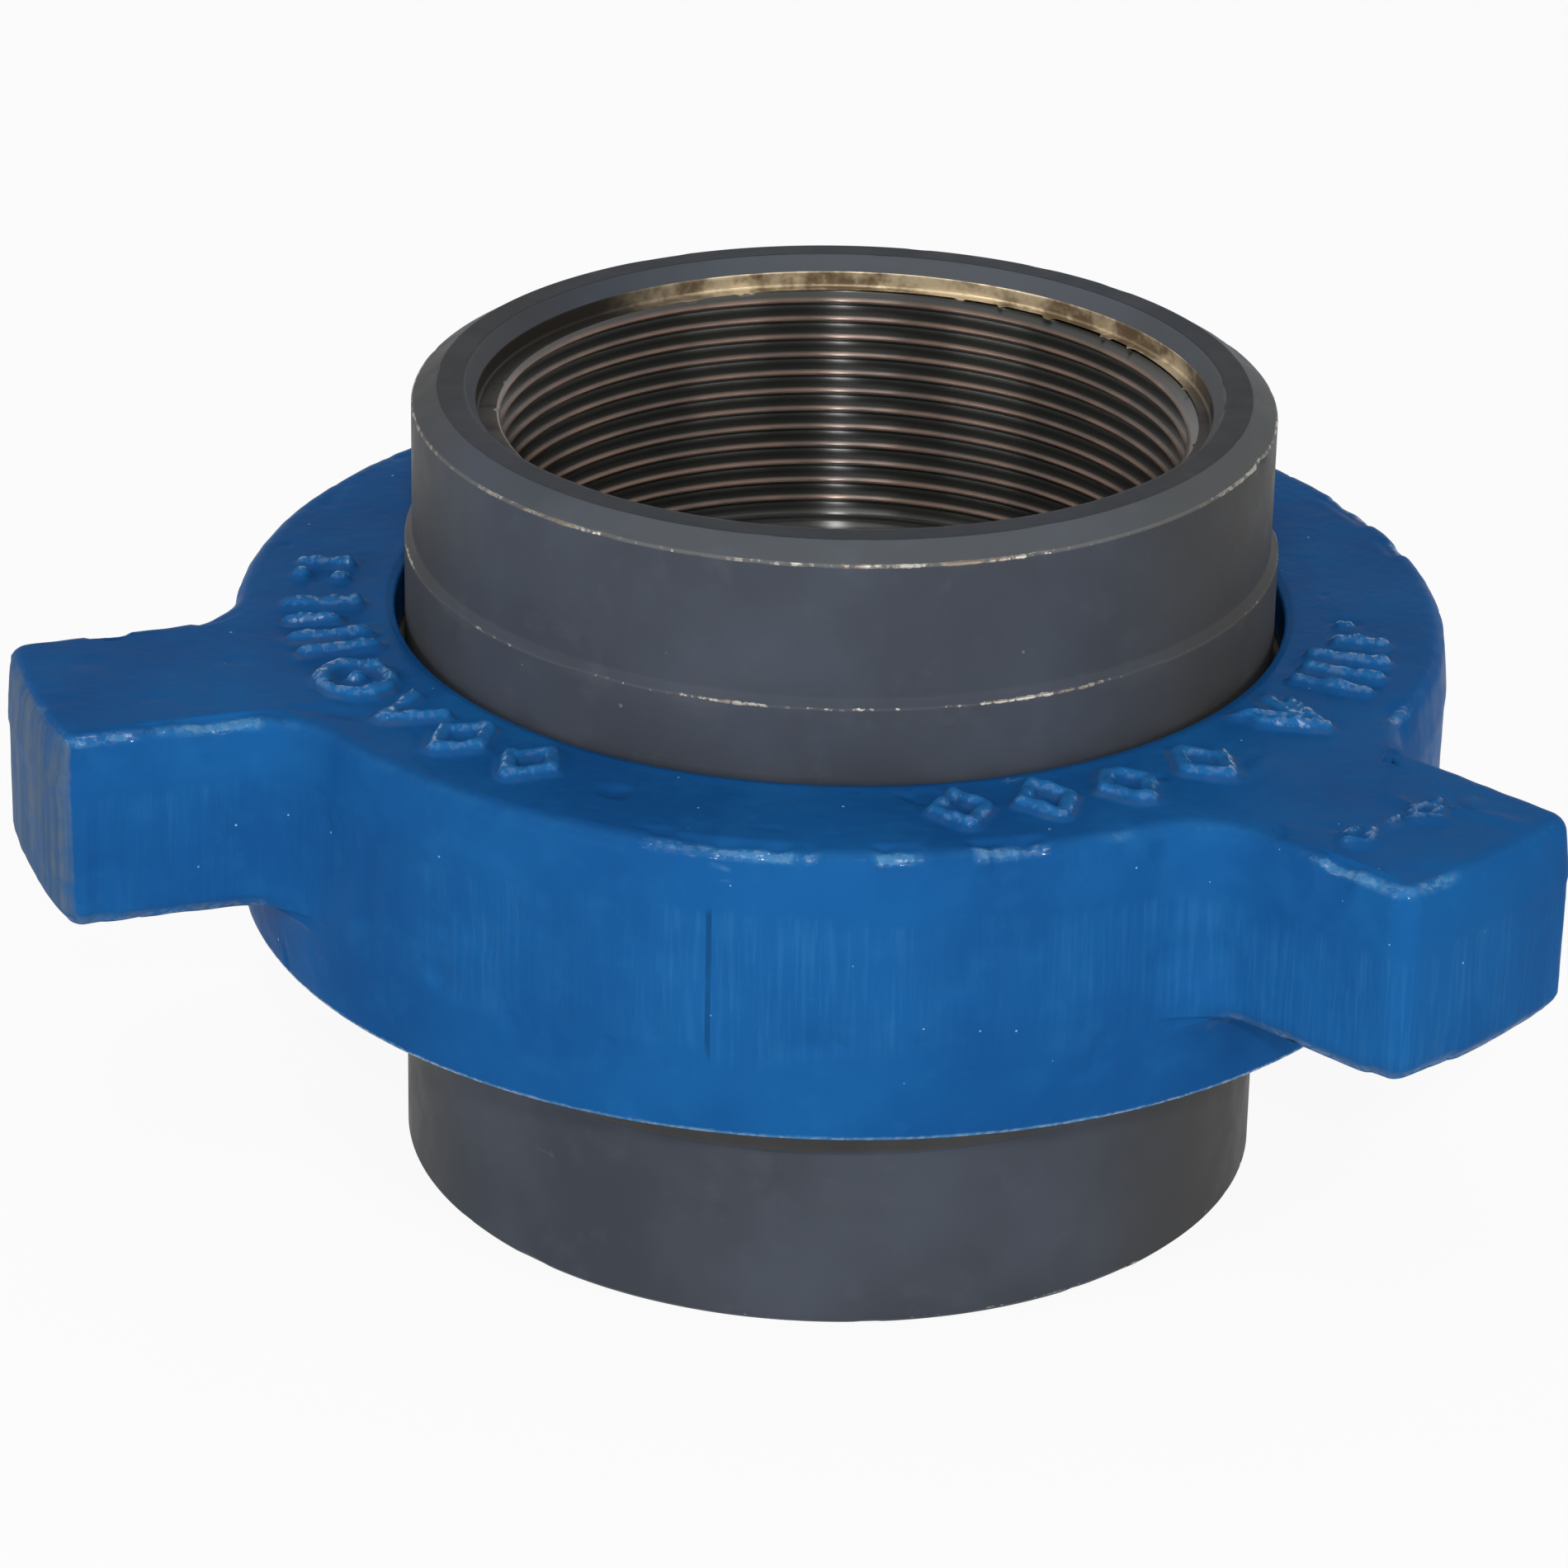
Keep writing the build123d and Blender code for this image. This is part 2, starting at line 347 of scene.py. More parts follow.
class Wiring:
    """Adds nodes to one tree. An input takes a value, a number, a tuple, a name or a material."""

    def __init__(self, tree):
        self.tree = tree

    def feed(self, socket, value):
        if isinstance(value, Value):
            self.tree.links.new(value.socket, socket)
        else:
            socket.default_value = value

    def node(self, kind, settings=None, **inputs):
        """A new node. Inputs go by name, with _ for a space."""
        node = self.tree.nodes.new(kind)
        for key, value in (settings or {}).items():
            setattr(node, key, value)
        for key, value in inputs.items():
            self.feed(node.inputs[key.replace("_", " ")], value)
        return node

    def add_all(self, kind, settings=None, **inputs):
        """All the outputs of a new node."""
        return [Value(self, socket) for socket in self.node(kind, settings, **inputs).outputs]

    def add(self, kind, output, settings=None, **inputs):
        """One output of a new node, by name or number."""
        return Value(self, self.node(kind, settings, **inputs).outputs[output])

    def feed_from(self, kind, settings, first, *values):
        """A new node whose inputs are fed by number, from the first one given. Returns the node."""
        node = self.node(kind, settings)
        for socket, value in zip(list(node.inputs)[first:], values):
            self.feed(socket, value)
        return node

    def maths(self, operation, *values):
        return Value(self, self.feed_from("ShaderNodeMath", {"operation": operation}, 0, *values).outputs[0])

    def larger(self, first, second):
        return self.maths("MAXIMUM", first, second)

    def ramp(self, value, low, high, start=0.0, stop=1.0):
        """The value's place between low and high as a soft step from start to stop."""
        return self.add(
            "ShaderNodeMapRange", 0, {"interpolation_type": "SMOOTHSTEP"},
            Value=value, From_Min=low, From_Max=high, To_Min=start, To_Max=stop,
        )

    def noise(self, vector, size, detail=2.0, roughness=0.5):
        """Noise from 0 to 1 with bumps about one size across, in metres."""
        return self.add(
            "ShaderNodeTexNoise", "Fac", Vector=vector, Scale=1.0 / size, Detail=detail, Roughness=roughness
        )

    def scaled(self, vector, x, y, z):
        """The vector with its parts multiplied, which stretches a pattern."""
        node = self.feed_from("ShaderNodeVectorMath", {"operation": "MULTIPLY"}, 0, vector, (x, y, z))
        return Value(self, node.outputs[0])

    def lathe_lines(self, vector, size, squeeze=0.02):
        """Noise drawn out round the part, as a lathe tool leaves it."""
        return self.noise(self.scaled(vector, squeeze, squeeze, 1.0), size)

    def part(self, vector, axis):
        """One part of a vector: 0, 1 or 2."""
        return self.add("ShaderNodeSeparateXYZ", axis, Vector=vector)

    def mix(self, share, first, second):
        """A colour between two colours."""
        node = self.feed_from("ShaderNodeMix", {"data_type": "RGBA"}, 6, first, second)
        self.feed(node.inputs["Factor"], share)
        return Value(self, node.outputs[2])

    def blend(self, share, first, second):
        """A number between two numbers."""
        node = self.feed_from("ShaderNodeMix", {"data_type": "FLOAT"}, 2, first, second)
        self.feed(node.inputs["Factor"], share)
        return Value(self, node.outputs[0])

    def tint(self, base, mask, share, screen_colour):
        """The base colour, tinted where the mask is up, by at most this share."""
        return self.mix(mask * share, base, colour(*screen_colour))

    def value_of(self, name):
        """A value kept on the mesh's points."""
        return self.add("ShaderNodeAttribute", "Fac", {"attribute_name": name})

    def use(self, group, **inputs):
        """The mask that a node group gives out."""
        return self.add("ShaderNodeGroup", 0, {"node_tree": group}, **inputs)


# %% [markdown]
# Every thread on this union follows one rule: a wave that climbs a pitch in a turn. Geometry
# Nodes cut it, so its sizes are named inputs that can be tried by hand in the modifier. The
# wave is a triangle with its top and bottom cut flat. It moves points in or out, never past
# the limits kept on the points, which are the chamfers where a real thread starts and ends.

# %% The thread cutter
THREAD_INPUTS = ["Thread number", "Pitch", "Depth", "Flank steepness", "Start", "End", "Fade", "Inside"]


def thread_tree(name, materials):
    """Cuts one thread into the points marked with its number, then sets the finishes."""
    tree = bpy.data.node_groups.new(name, "GeometryNodeTree")
    tree.interface.new_socket("Geometry", in_out="INPUT", socket_type="NodeSocketGeometry")
    for label in THREAD_INPUTS:
        tree.interface.new_socket(label, in_out="INPUT", socket_type="NodeSocketFloat")
    tree.interface.new_socket("Geometry", in_out="OUTPUT", socket_type="NodeSocketGeometry")
    wire = Wiring(tree)
    shape, ours, pitch, depth, steepness, start, end, fade, inside, _ = wire.add_all("NodeGroupInput")

    def stored(label, kind="FLOAT"):
        return wire.add("GeometryNodeInputNamedAttribute", "Attribute", {"data_type": kind}, Name=label)

    x, y, z = wire.add_all("ShaderNodeSeparateXYZ", Vector=wire.add("GeometryNodeInputPosition", 0))
    turn = wire.maths("ARCTAN2", y, x) / (2 * math.pi)
    phase = wire.maths("FRACT", z / pitch - turn)
    triangle = 1.0 - abs(phase * 2.0 - 1.0)
    wave = ((triangle - 0.5) * steepness + 0.5).clamped()
    reach = ((z - start) / fade).clamped() * ((end - z) / fade).clamped()
    radius = wire.maths("SQRT", x * x + y * y)
    limited = wire.maths("MINIMUM", radius + (wave - 0.5) * depth * reach, stored("most"))
    scale = wire.larger(limited, stored("least")) / wire.larger(radius, 1e-6)
    moved = wire.add("ShaderNodeCombineXYZ", 0, X=x * scale, Y=y * scale, Z=z)

    chosen = wire.add(
        "FunctionNodeCompare", 0, {"data_type": "FLOAT", "operation": "EQUAL"},
        A=stored("thread_cut"), B=ours, Epsilon=0.25,
    )
    shape = wire.add(
        "GeometryNodeStoreNamedAttribute", 0, {"data_type": "FLOAT"},
        Name="crest", Geometry=shape, Selection=chosen, Value=abs(wave - inside) * reach,
    )
    shape = wire.add("GeometryNodeSetPosition", 0, Geometry=shape, Selection=chosen, Position=moved)
    shape = wire.add("GeometryNodeRealizeInstances", 0, Geometry=shape)
    for number, material in enumerate(materials):
        same = wire.feed_from(
            "FunctionNodeCompare", {"data_type": "INT", "operation": "EQUAL"},
            2, stored("finish", "INT"), number,
        )
        painted = Value(wire, same.outputs[0])
        shape = wire.add("GeometryNodeSetMaterial", 0, Geometry=shape, Selection=painted, Material=material)
    wire.feed(wire.node("NodeGroupOutput").inputs[0], shape)
    return tree


def cut_threads(piece, materials, threads):
    """Runs the cutter once for each thread and leaves a plain mesh."""
    for material in materials:
        piece.data.materials.append(material)
    for number, sizes in enumerate(threads, start=1):
        tree = thread_tree(f"{piece.name} thread {number}", materials)
        names = {s.name: s.identifier for s in tree.interface.items_tree if s.in_out == "INPUT"}
        modifier = piece.modifiers.new(f"thread {number}", "NODES")
        modifier.node_group = tree
        for label, value in {"Thread number": float(number), **sizes}.items():
            modifier[names[label]] = value
    view = bpy.context.evaluated_depsgraph_get()
    plain = bpy.data.meshes.new_from_object(piece.evaluated_get(view), depsgraph=view)
    piece.modifiers.clear()
    piece.data = plain
    for label in ("least", "most", "thread_cut", "finish"):
        plain.attributes.remove(plain.attributes[label])
    print(piece.name, "threads cut:", len(threads), "materials", [m.name for m in plain.materials])


# %% [markdown]
# Sizes come from the model: the boxes of its three parts give the end faces, and the rest
# are the standard ones for this size of pipe. Two threads matter. The pipe thread has eight
# turns an inch on a gentle cone. The nut's thread is coarse, with nearly square flanks, and
# its pitch is the same as the motion's, so the nut really does climb along its groove.

# %% Sizes in millimetres
PIPE_PITCH = 3.175
PIPE_DEPTH = 2.4
SCREW_PITCH = 6.35
SCREW_DEPTH = 3.4
SUB_COLUMNS = 372
FLOW, RECESS, PIPE_MOUTH, PIPE_END = 51.1, 58.35, 55.7, 54.356
PIPE_PHASES = [0.0417, 0.18, 0.32, 0.4583, 0.5417, 0.68, 0.82, 0.9583]
SCREW_PHASES = [0.02, 0.155, 0.195, 0.305, 0.345, 0.5, 0.655, 0.695, 0.805, 0.845]
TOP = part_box("male_sub")[1][2] / MM
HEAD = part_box("threaded_sub")[1][2] / MM
NUT_LOW, NUT_FACE = (corner[2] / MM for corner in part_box("wing_nut"))
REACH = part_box("wing_nut")[1][1] / MM
COLLAR_TOP, HEAD_LOW, SCREW_HIGH = 85.3, 49.5, 79.3
HEAD_MOUTH, HEAD_END = 77.1, 76.6
ENTRY, RELIEF, LIP_BORE = 83.0, 82.4, 71.4
BEVEL_DEPTH, RECESS_DEPTH, THREAD_STOP, SOCKET_DEPTH = 2.5, 5.0, 48.0, 52.0
BEVEL_FLARE, MEET = 1.95, 1e-4
print("top", round(TOP, 2), "head", round(HEAD, 2), "nut", round(NUT_LOW, 2), round(NUT_FACE, 2))


def pipe_socket(skin, face, inward, bore_ring):
    """Bevel, recess, pipe thread and run-out, from the end face inwards to the bore's ring.

    Returns the heights between which the thread lies.
    """
    bevel, mouth, end, run_out = (
        face + inward * depth for depth in (BEVEL_DEPTH, RECESS_DEPTH, THREAD_STOP, SOCKET_DEPTH)
    )
    rows = rounded_section([
        (RECESS + BEVEL_FLARE, face, 0, 3, 0.6, 0),
        (RECESS, bevel, 0.4, 3, 0.5, 1),
        (RECESS, mouth, 0, 5, 0.0, 1),
        (PIPE_MOUTH, mouth, 0, 1, 0.0, 1),
    ])
    skin.turned(rows, SUB_COLUMNS)
    low, high = sorted((mouth, end))

    def cone(height):
        return PIPE_MOUTH + (PIPE_END - PIPE_MOUTH) * abs(height - mouth) / (THREAD_STOP - RECESS_DEPTH)

    skin.climbing(cone, low, high, PIPE_PITCH, PIPE_PHASES, SUB_COLUMNS, 2)
    below = [(PIPE_END, end, 0, 3, 0, 2), (FLOW, run_out, 0, 4, 0, 3), (FLOW, bore_ring, 0, 1, 0, 3)]
    skin.turned(rounded_section(below), SUB_COLUMNS)
    return low, high


def ding(points, size, depth, seed, least):
    """How deep a few scattered knocks go, in millimetres: none over most of the surface."""
    return depth * smooth(least, least + 0.25, noise(points, size, seed))

# %% [markdown]
# The male sub is the upper piece. Its outside shows a chamfered end, a plain body and a
# small step down to the neck, which disappears into the nut. Hidden below are the collar
# that the nut pulls on and the ball nose that seals. The section is turned, then knocked
# a little at its end, where a pipe wrench and the floor have been.

# %% The male sub
def knocked(skin, low_edge, high_edge, seed):
    """Moves worn corners inwards by small random knocks, so an edge has nicks."""
    points = np.array(skin.points)
    wear = np.array(skin.wear)
    flat = np.hypot(points[:, 0], points[:, 1])
    deep = ding(points, 5.0, 0.35, seed, 0.45) + ding(points, 2.2, 0.2, seed + 1, 0.55)
    height = points[:, 2]
    share = wear * smooth(low_edge, low_edge + 0.5, height) * (1 - smooth(high_edge - 0.5, high_edge, height))
    shrink = 1 - deep * share / np.maximum(flat, 1)
    points[:, 0] *= shrink
    points[:, 1] *= shrink
    skin.points = points.tolist()


def ball_height(radius):
    """Height of the ball nose at this radius."""
    centre = HEAD - 9.0 + 61.0 + 0.3 / math.sin(math.radians(45))
    return centre - math.sqrt((61.0 / math.cos(math.radians(45))) ** 2 - radius**2)


def make_male_sub():
    skin = Skin()
    ball = [(r, ball_height(r), 0, 1, 0, 3) for r in np.linspace(67, 54.4, 9)]
    corners = [
        (RECESS + BEVEL_FLARE, TOP, 0, 4, 0.6, 0),
        (64.6, TOP, 0.5, 4, 0.55, 0),
        (68.6, TOP - 2.6, 0.5, 15, 1.0, 0),
        (68.6, TOP - 24.2, 0.4, 2, 0.2, 0),
        (69.8, TOP - 25.4, 0.4, 12, 0.9, 0),
        (69.8, COLLAR_TOP, 0.9, 4, 0.0, 3),
        (77.4, COLLAR_TOP, 0.9, 4, 0.5, 3),
        (77.4, 77.3, 0.9, 4, 0.5, 3),
        (68.0, 77.3, 0.5, 2, 0.0, 3),
        (68.0, ball_height(68), 0.4, 2, 0.3, 3),
        *ball,
        (54.0, ball_height(54), 0, 2, 0.3, 3),
        (51.9, ball_height(54), 0, 1, 0.3, 3),
        (FLOW, ball_height(54) + 0.8, 0, 7, 0.3, 3),
        (FLOW, TOP - SOCKET_DEPTH, 0, 1, 0.0, 3),
    ]
    skin.turned(rounded_section(corners), SUB_COLUMNS)
    zone = pipe_socket(skin, TOP, -1, TOP - SOCKET_DEPTH - MEET)
    knocked(skin, TOP - 27.0, TOP + 9.0, 5)
    return skin, zone


male_skin, male_zone = make_male_sub()
count = len(male_skin.points)
male_sub = make_mesh("upper_sub", male_skin, {"least": np.zeros(count), "most": np.full(count, 0.1)})

# %% [markdown]
# The threaded sub is the lower piece and the union stands on it. Its head carries the
# coarse screw thread, with a conical seat inside for the ball nose. While the nut is tight
# only the neck and the body show, but the head comes into view when the nut is run off.

# %% The threaded sub
def seat_height(radius):
    return HEAD - (70.0 - radius)


def head_limit(height):
    """The largest radius of the head's thread, which two chamfers cut off."""
    return np.minimum(HEAD_MOUTH + (height - HEAD_LOW), HEAD_END + (HEAD - height))


def make_threaded_sub():
    skin = Skin()
    outside = [
        (RECESS + BEVEL_FLARE, 0.0, 0, 3, 0.6, 0),
        (68.85, 0.0, 0.3, 2, 0.5, 0),
        (69.85, 1.0, 0.3, 18, 0.8, 0),
        (69.85, 30.2, 0.4, 2, 0.1, 0),
        # From the neck step up to the head the finish is 5: the neck painted dark as the shadow under the
        # nut's rim.
        (71.05, 31.4, 0.5, 8, 0.35, 5),
        (71.05, HEAD_LOW, 2.2, 4, 0.0, 5),
        (HEAD_MOUTH, HEAD_LOW, 0, 1, 0.3, 4),
    ]
    skin.turned(rounded_section(outside), SUB_COLUMNS)
    skin.climbing(
        lambda z: np.minimum(79.6, head_limit(z)),
        HEAD_LOW, HEAD, SCREW_PITCH, SCREW_PHASES, SUB_COLUMNS, 4,
    )
    screw_points = len(skin.points)
    inside = [
        (HEAD_END, HEAD, 0, 4, 0.3, 3),
        (70.0, HEAD, 0.5, 14, 0.3, 3),
        (FLOW, seat_height(FLOW), 0.4, 3, 0.2, 3),
        (FLOW, SOCKET_DEPTH, 0, 1, 0.0, 3),
    ]
    skin.turned(rounded_section(inside), SUB_COLUMNS)
    zone = pipe_socket(skin, 0.0, 1, SOCKET_DEPTH - MEET)
    knocked(skin, -9.0, 33.5, 9)
    heights = np.array(skin.points)[:, 2]
    mark = np.array(skin.thread)
    mark[:screw_points] *= 2.0
    skin.thread = mark.tolist()
    on_screw = mark > 1.5
    return skin, zone, np.where(on_screw, head_limit(heights), 100.0)


threaded_skin, threaded_zone, screw_limit = make_threaded_sub()
threaded_sub = make_mesh(
    "lower_sub", threaded_skin, {"least": np.zeros(len(screw_limit)), "most": screw_limit * MM}
)

# %% [markdown]
# The nut is a forging: a thick ring with three lugs to hit with a hammer. Its outline in
# plan is one curve, so the mesh follows it. Columns are spread along the outline, and every
# column runs the same way: over the face, round the edge, down the side, under the lug,
# down the rim and across to the bore. Each half lug is a tip arc, a rounded corner, a
# straight side, a hollow root and a stretch of rim.

# %% The nut's outline in plan
RIM_RADIUS = -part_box("wing_nut")[0][1] / MM
RIM_DRAFT, RIM_ROUND = 1.4, 1.2
TIP_CORNER, ROOT_HOLLOW = 4.5, 13.0
LUG_ANGLES = (-30.0, 90.0, 210.0)
LUG_LEANS = (-2.5, 0.0, 0.0)
LUG_STRETCH = (1.8, 0.0, 0.5)
LUG_COARSENESS = (1.0, 1.4, 1.0)


def arc(centre, radius, start, stop, spacing, hollow=False):
    """Points and outward normals along an arc, without its last point."""
    number = max(3, round(abs(stop - start) * radius / spacing))
    angle = start + (stop - start) * np.arange(number) / number
    out = np.stack([np.cos(angle), np.sin(angle)], 1)
    return np.asarray(centre) + radius * out, -out if hollow else out


def half_lug(coarse):
    """The outline from a lug's middle to the middle of the rim, at angle zero to sixty."""
    root = np.array([RIM_RADIUS * 0.8, 21.5])
    tip = np.array([REACH + TIP_CORNER, 20.4])
    along = (tip - root) / np.linalg.norm(tip - root)
    out = np.array([-along[1], along[0]])

    def centre_at(offset, distance):
        base = root + out * offset
        b = np.dot(base, along)
        return base + along * (-b + math.sqrt(b * b - np.dot(base, base) + distance**2))

    corner = centre_at(-TIP_CORNER, REACH - TIP_CORNER)
    hollow = centre_at(ROOT_HOLLOW, RIM_RADIUS + ROOT_HOLLOW)
    corner_turn = math.atan2(corner[1], corner[0])
    side_turn = math.atan2(out[1], out[0])
    rim_turn = math.atan2(hollow[1], hollow[0])
    side_start, side_stop = corner + out * TIP_CORNER, hollow - out * ROOT_HOLLOW
    length = np.linalg.norm(side_stop - side_start)
    share = np.arange(round(length / coarse / 1.1))[:, None] / round(length / coarse / 1.1)
    side = side_start + (side_stop - side_start) * share
    pieces = [
        arc((0, 0), REACH, 0.0, corner_turn, 1.3 * coarse),
        arc(corner, TIP_CORNER, corner_turn, side_turn, 0.85),
        (side, np.broadcast_to(out, side.shape)),
        arc(hollow, ROOT_HOLLOW, side_turn + math.pi, rim_turn + math.pi, 1.2)[:1] + (None,),
        arc((0, 0), RIM_RADIUS, rim_turn, math.radians(60.0), 0.86 * coarse),
    ]
    hollow_points = pieces[3][0]
    pieces[3] = (hollow_points, (hollow - hollow_points) / ROOT_HOLLOW)
    return np.concatenate([p for p, _ in pieces]), np.concatenate([n for _, n in pieces])


def nut_outline():
    """The whole outline, counter-clockwise, as points and outward normals."""
    middle = RIM_RADIUS * np.array([[math.cos(math.radians(-60)), math.sin(math.radians(-60))]])
    flip = np.array([1.0, -1.0])
    whole, whole_normals = [], []
    for degrees, coarse in zip(LUG_ANGLES, LUG_COARSENESS):
        points, normals = half_lug(coarse)
        sector = np.concatenate([middle, (points * flip)[:0:-1], points])
        sector_normals = np.concatenate([middle / RIM_RADIUS, (normals * flip)[:0:-1], normals])
        c, s = math.cos(math.radians(degrees)), math.sin(math.radians(degrees))
        turn = np.array([[c, s], [-s, c]])
        whole.append(sector @ turn)
        whole_normals.append(sector_normals @ turn)
    return np.concatenate(whole), np.concatenate(whole_normals)


def lean_lugs(points, normals):
    """Turns and stretches each lug a little, more towards its tip, as the forging has them."""
    radius = np.hypot(points[:, 0], points[:, 1])
    angle = np.degrees(np.arctan2(points[:, 1], points[:, 0]))
    lean = np.zeros(len(points))
    for degrees, amount, stretch in zip(LUG_ANGLES, LUG_LEANS, LUG_STRETCH):
        gap = np.abs((angle - degrees + 180) % 360 - 180)
        lean += amount * (1 - smooth(14.0, 40.0, gap))
        longer = stretch * smooth(RIM_RADIUS, REACH, radius) * (gap < 30)
        points = points * (1 + longer / radius)[:, None]
    turn = np.radians(lean)
    spin = np.stack([np.cos(turn), np.sin(turn)], 1)

    def spun(vectors):
        return np.stack([
            vectors[:, 0] * spin[:, 0] - vectors[:, 1] * spin[:, 1],
            vectors[:, 0] * spin[:, 1] + vectors[:, 1] * spin[:, 0],
        ], 1)

    return spun(points), spun(normals)


outline, outward = lean_lugs(*nut_outline())
outline_length = float(np.linalg.norm(np.diff(outline, axis=0), axis=1).sum())
print("outline:", len(outline), "columns,", round(outline_length), "mm round")

# %% [markdown]
# Raised marks on the nut's face were cut into the forging die, so they stand up with soft
# sides and the paint has run into their corners. Here they are plain bars, rings, dots,
# lozenges and chevrons. Each mark is a few strokes in its own small frame, laid along an arc
# round the bore or across a lug, and a stroke is the set of points near a line.

# %% Raised marks on the face
BAR = [((0, -5.6), (0, 5.6))]
SHORT_BAR = [((0, -3.2), (0, 3.8))]
DOT = [((0, -0.3), (0, 0.3))]
CHEVRON = [((-4.4, -4.4), (0, 4.2)), ((0, 4.2), (4.4, -4.4))]
LOZENGE = [((-4.0, 0), (0, 5.6)), ((0, 5.6), (4.0, 0)), ((4.0, 0), (0, -5.6)), ((0, -5.6), (-4.0, 0))]
DISC_RING = [
    ((6.0 * math.cos(a), 5.4 * math.sin(a)), (6.0 * math.cos(a + 0.5236), 5.4 * math.sin(a + 0.5236)))
    for a in np.arange(12) * 0.5236
]
FACE_MARKS = [
    (184.6, 83.4, SHORT_BAR), (188.0, 87.0, DOT), (188.4, 80.6, DOT),
    (196.0, 83.0, BAR), (200.6, 84.6, SHORT_BAR), (205.2, 83.0, BAR), (209.0, 82.6, BAR),
    (217.4, 83.8, DISC_RING), (217.4, 83.8, DOT),
    (227.6, 83.0, CHEVRON), (236.6, 82.2, LOZENGE), (246.2, 82.0, LOZENGE),
    (293.6, 82.4, LOZENGE), (303.0, 82.4, LOZENGE), (312.4, 82.8, LOZENGE), (322.6, 83.2, LOZENGE),
    (338.4, 84.4, CHEVRON), (338.4, 79.4, CHEVRON),
    (348.4, 83.0, BAR), (352.2, 83.4, BAR), (356.0, 83.0, BAR),
    (0.6, 83.6, SHORT_BAR), (5.6, 81.0, DOT),
]
LUG_MARKS = [
    (116.0, -10.6, 0.55, LOZENGE), (116.4, -4.6, 0.55, BAR),
    (117.4, 3.6, 0.55, LOZENGE), (119.6, 12.0, 0.7, DOT),
]
MARK_HEIGHT = 1.6
STROKE = 1.2


def stroke_height(across, along, strokes, size, seed):
    """Height of one mark over points in its own frame."""
    nearest = np.full(across.shape, 1e9)
    for (x0, y0), (x1, y1) in strokes:
        x0, y0, x1, y1 = (v * size for v in (x0, y0, x1, y1))
        length = max((x1 - x0) ** 2 + (y1 - y0) ** 2, 1e-9)
        share = np.clip(((across - x0) * (x1 - x0) + (along - y0) * (y1 - y0)) / length, 0, 1)
        away = np.hypot(across - x0 - share * (x1 - x0), along - y0 - share * (y1 - y0))
        nearest = np.minimum(nearest, away)
    flat = np.stack([across, along, np.full(across.shape, float(seed))], 1)
    rough = 1 + 0.3 * noise(flat, 1.8, seed)
    return MARK_HEIGHT * rough * (1 - smooth(STROKE * size * 0.15, STROKE * size * 1.75, nearest))


def face_relief(points):
    """Height of all the raised marks over points (n, 2) on the nut's face."""
    total = np.zeros(len(points))
    radius = np.hypot(points[:, 0], points[:, 1])
    angle = np.arctan2(points[:, 1], points[:, 0])
    for seed, (degrees, middle, strokes) in enumerate(FACE_MARKS):
        gap = (angle - math.radians(degrees) + math.pi) % (2 * math.pi) - math.pi
        across, along = gap * middle, radius - middle
        near = (np.abs(across) < 11) & (np.abs(along) < 11)
        mark = stroke_height(across[near], along[near], strokes, 1.0, seed)
        total[near] = np.maximum(total[near], mark)
    turn = math.radians(LUG_ANGLES[0] + LUG_LEANS[0])
    lug_x = points[:, 0] * math.cos(turn) + points[:, 1] * math.sin(turn)
    lug_y = -points[:, 0] * math.sin(turn) + points[:, 1] * math.cos(turn)
    for seed, (along_lug, side, size, strokes) in enumerate(LUG_MARKS, start=40):
        across, along = lug_x - along_lug, lug_y - side
        near = (np.abs(across) < 6) & (np.abs(along) < 6)
        mark = 0.8 * stroke_height(across[near], along[near], strokes, size, seed)
        total[near] = np.maximum(total[near], mark)
    return total


print("marks:", len(FACE_MARKS) + len(LUG_MARKS))

# %% [markdown]
# The nut's mesh is a table of points, one row at a time down the column. A forging is never
# true: the face waves, the edge is battered, the crown's sides lean, and below the crown the
# flash was sheared off, which leaves a small step and upright streaks. All of that is moved
# along the surface's own direction, after the plain shape is laid out.

# %% The nut's columns
EDGE_ROUND, DRAFT_HEIGHT, DRAFT = 3.0, 9.5, 0.664
FACE_ROWS, SIDE_ROWS = 46, 15
LUG_UNDER = NUT_FACE - 32.3
BAND_LOW = LUG_UNDER + 3.0
COVE = 4.0
LIP_EDGE = 72.8


def rim_at(height):
    """Radius of the nut's drafted rim."""
    return RIM_RADIUS - RIM_DRAFT * np.clip((BAND_LOW - height) / (BAND_LOW - NUT_LOW), 0, 1)


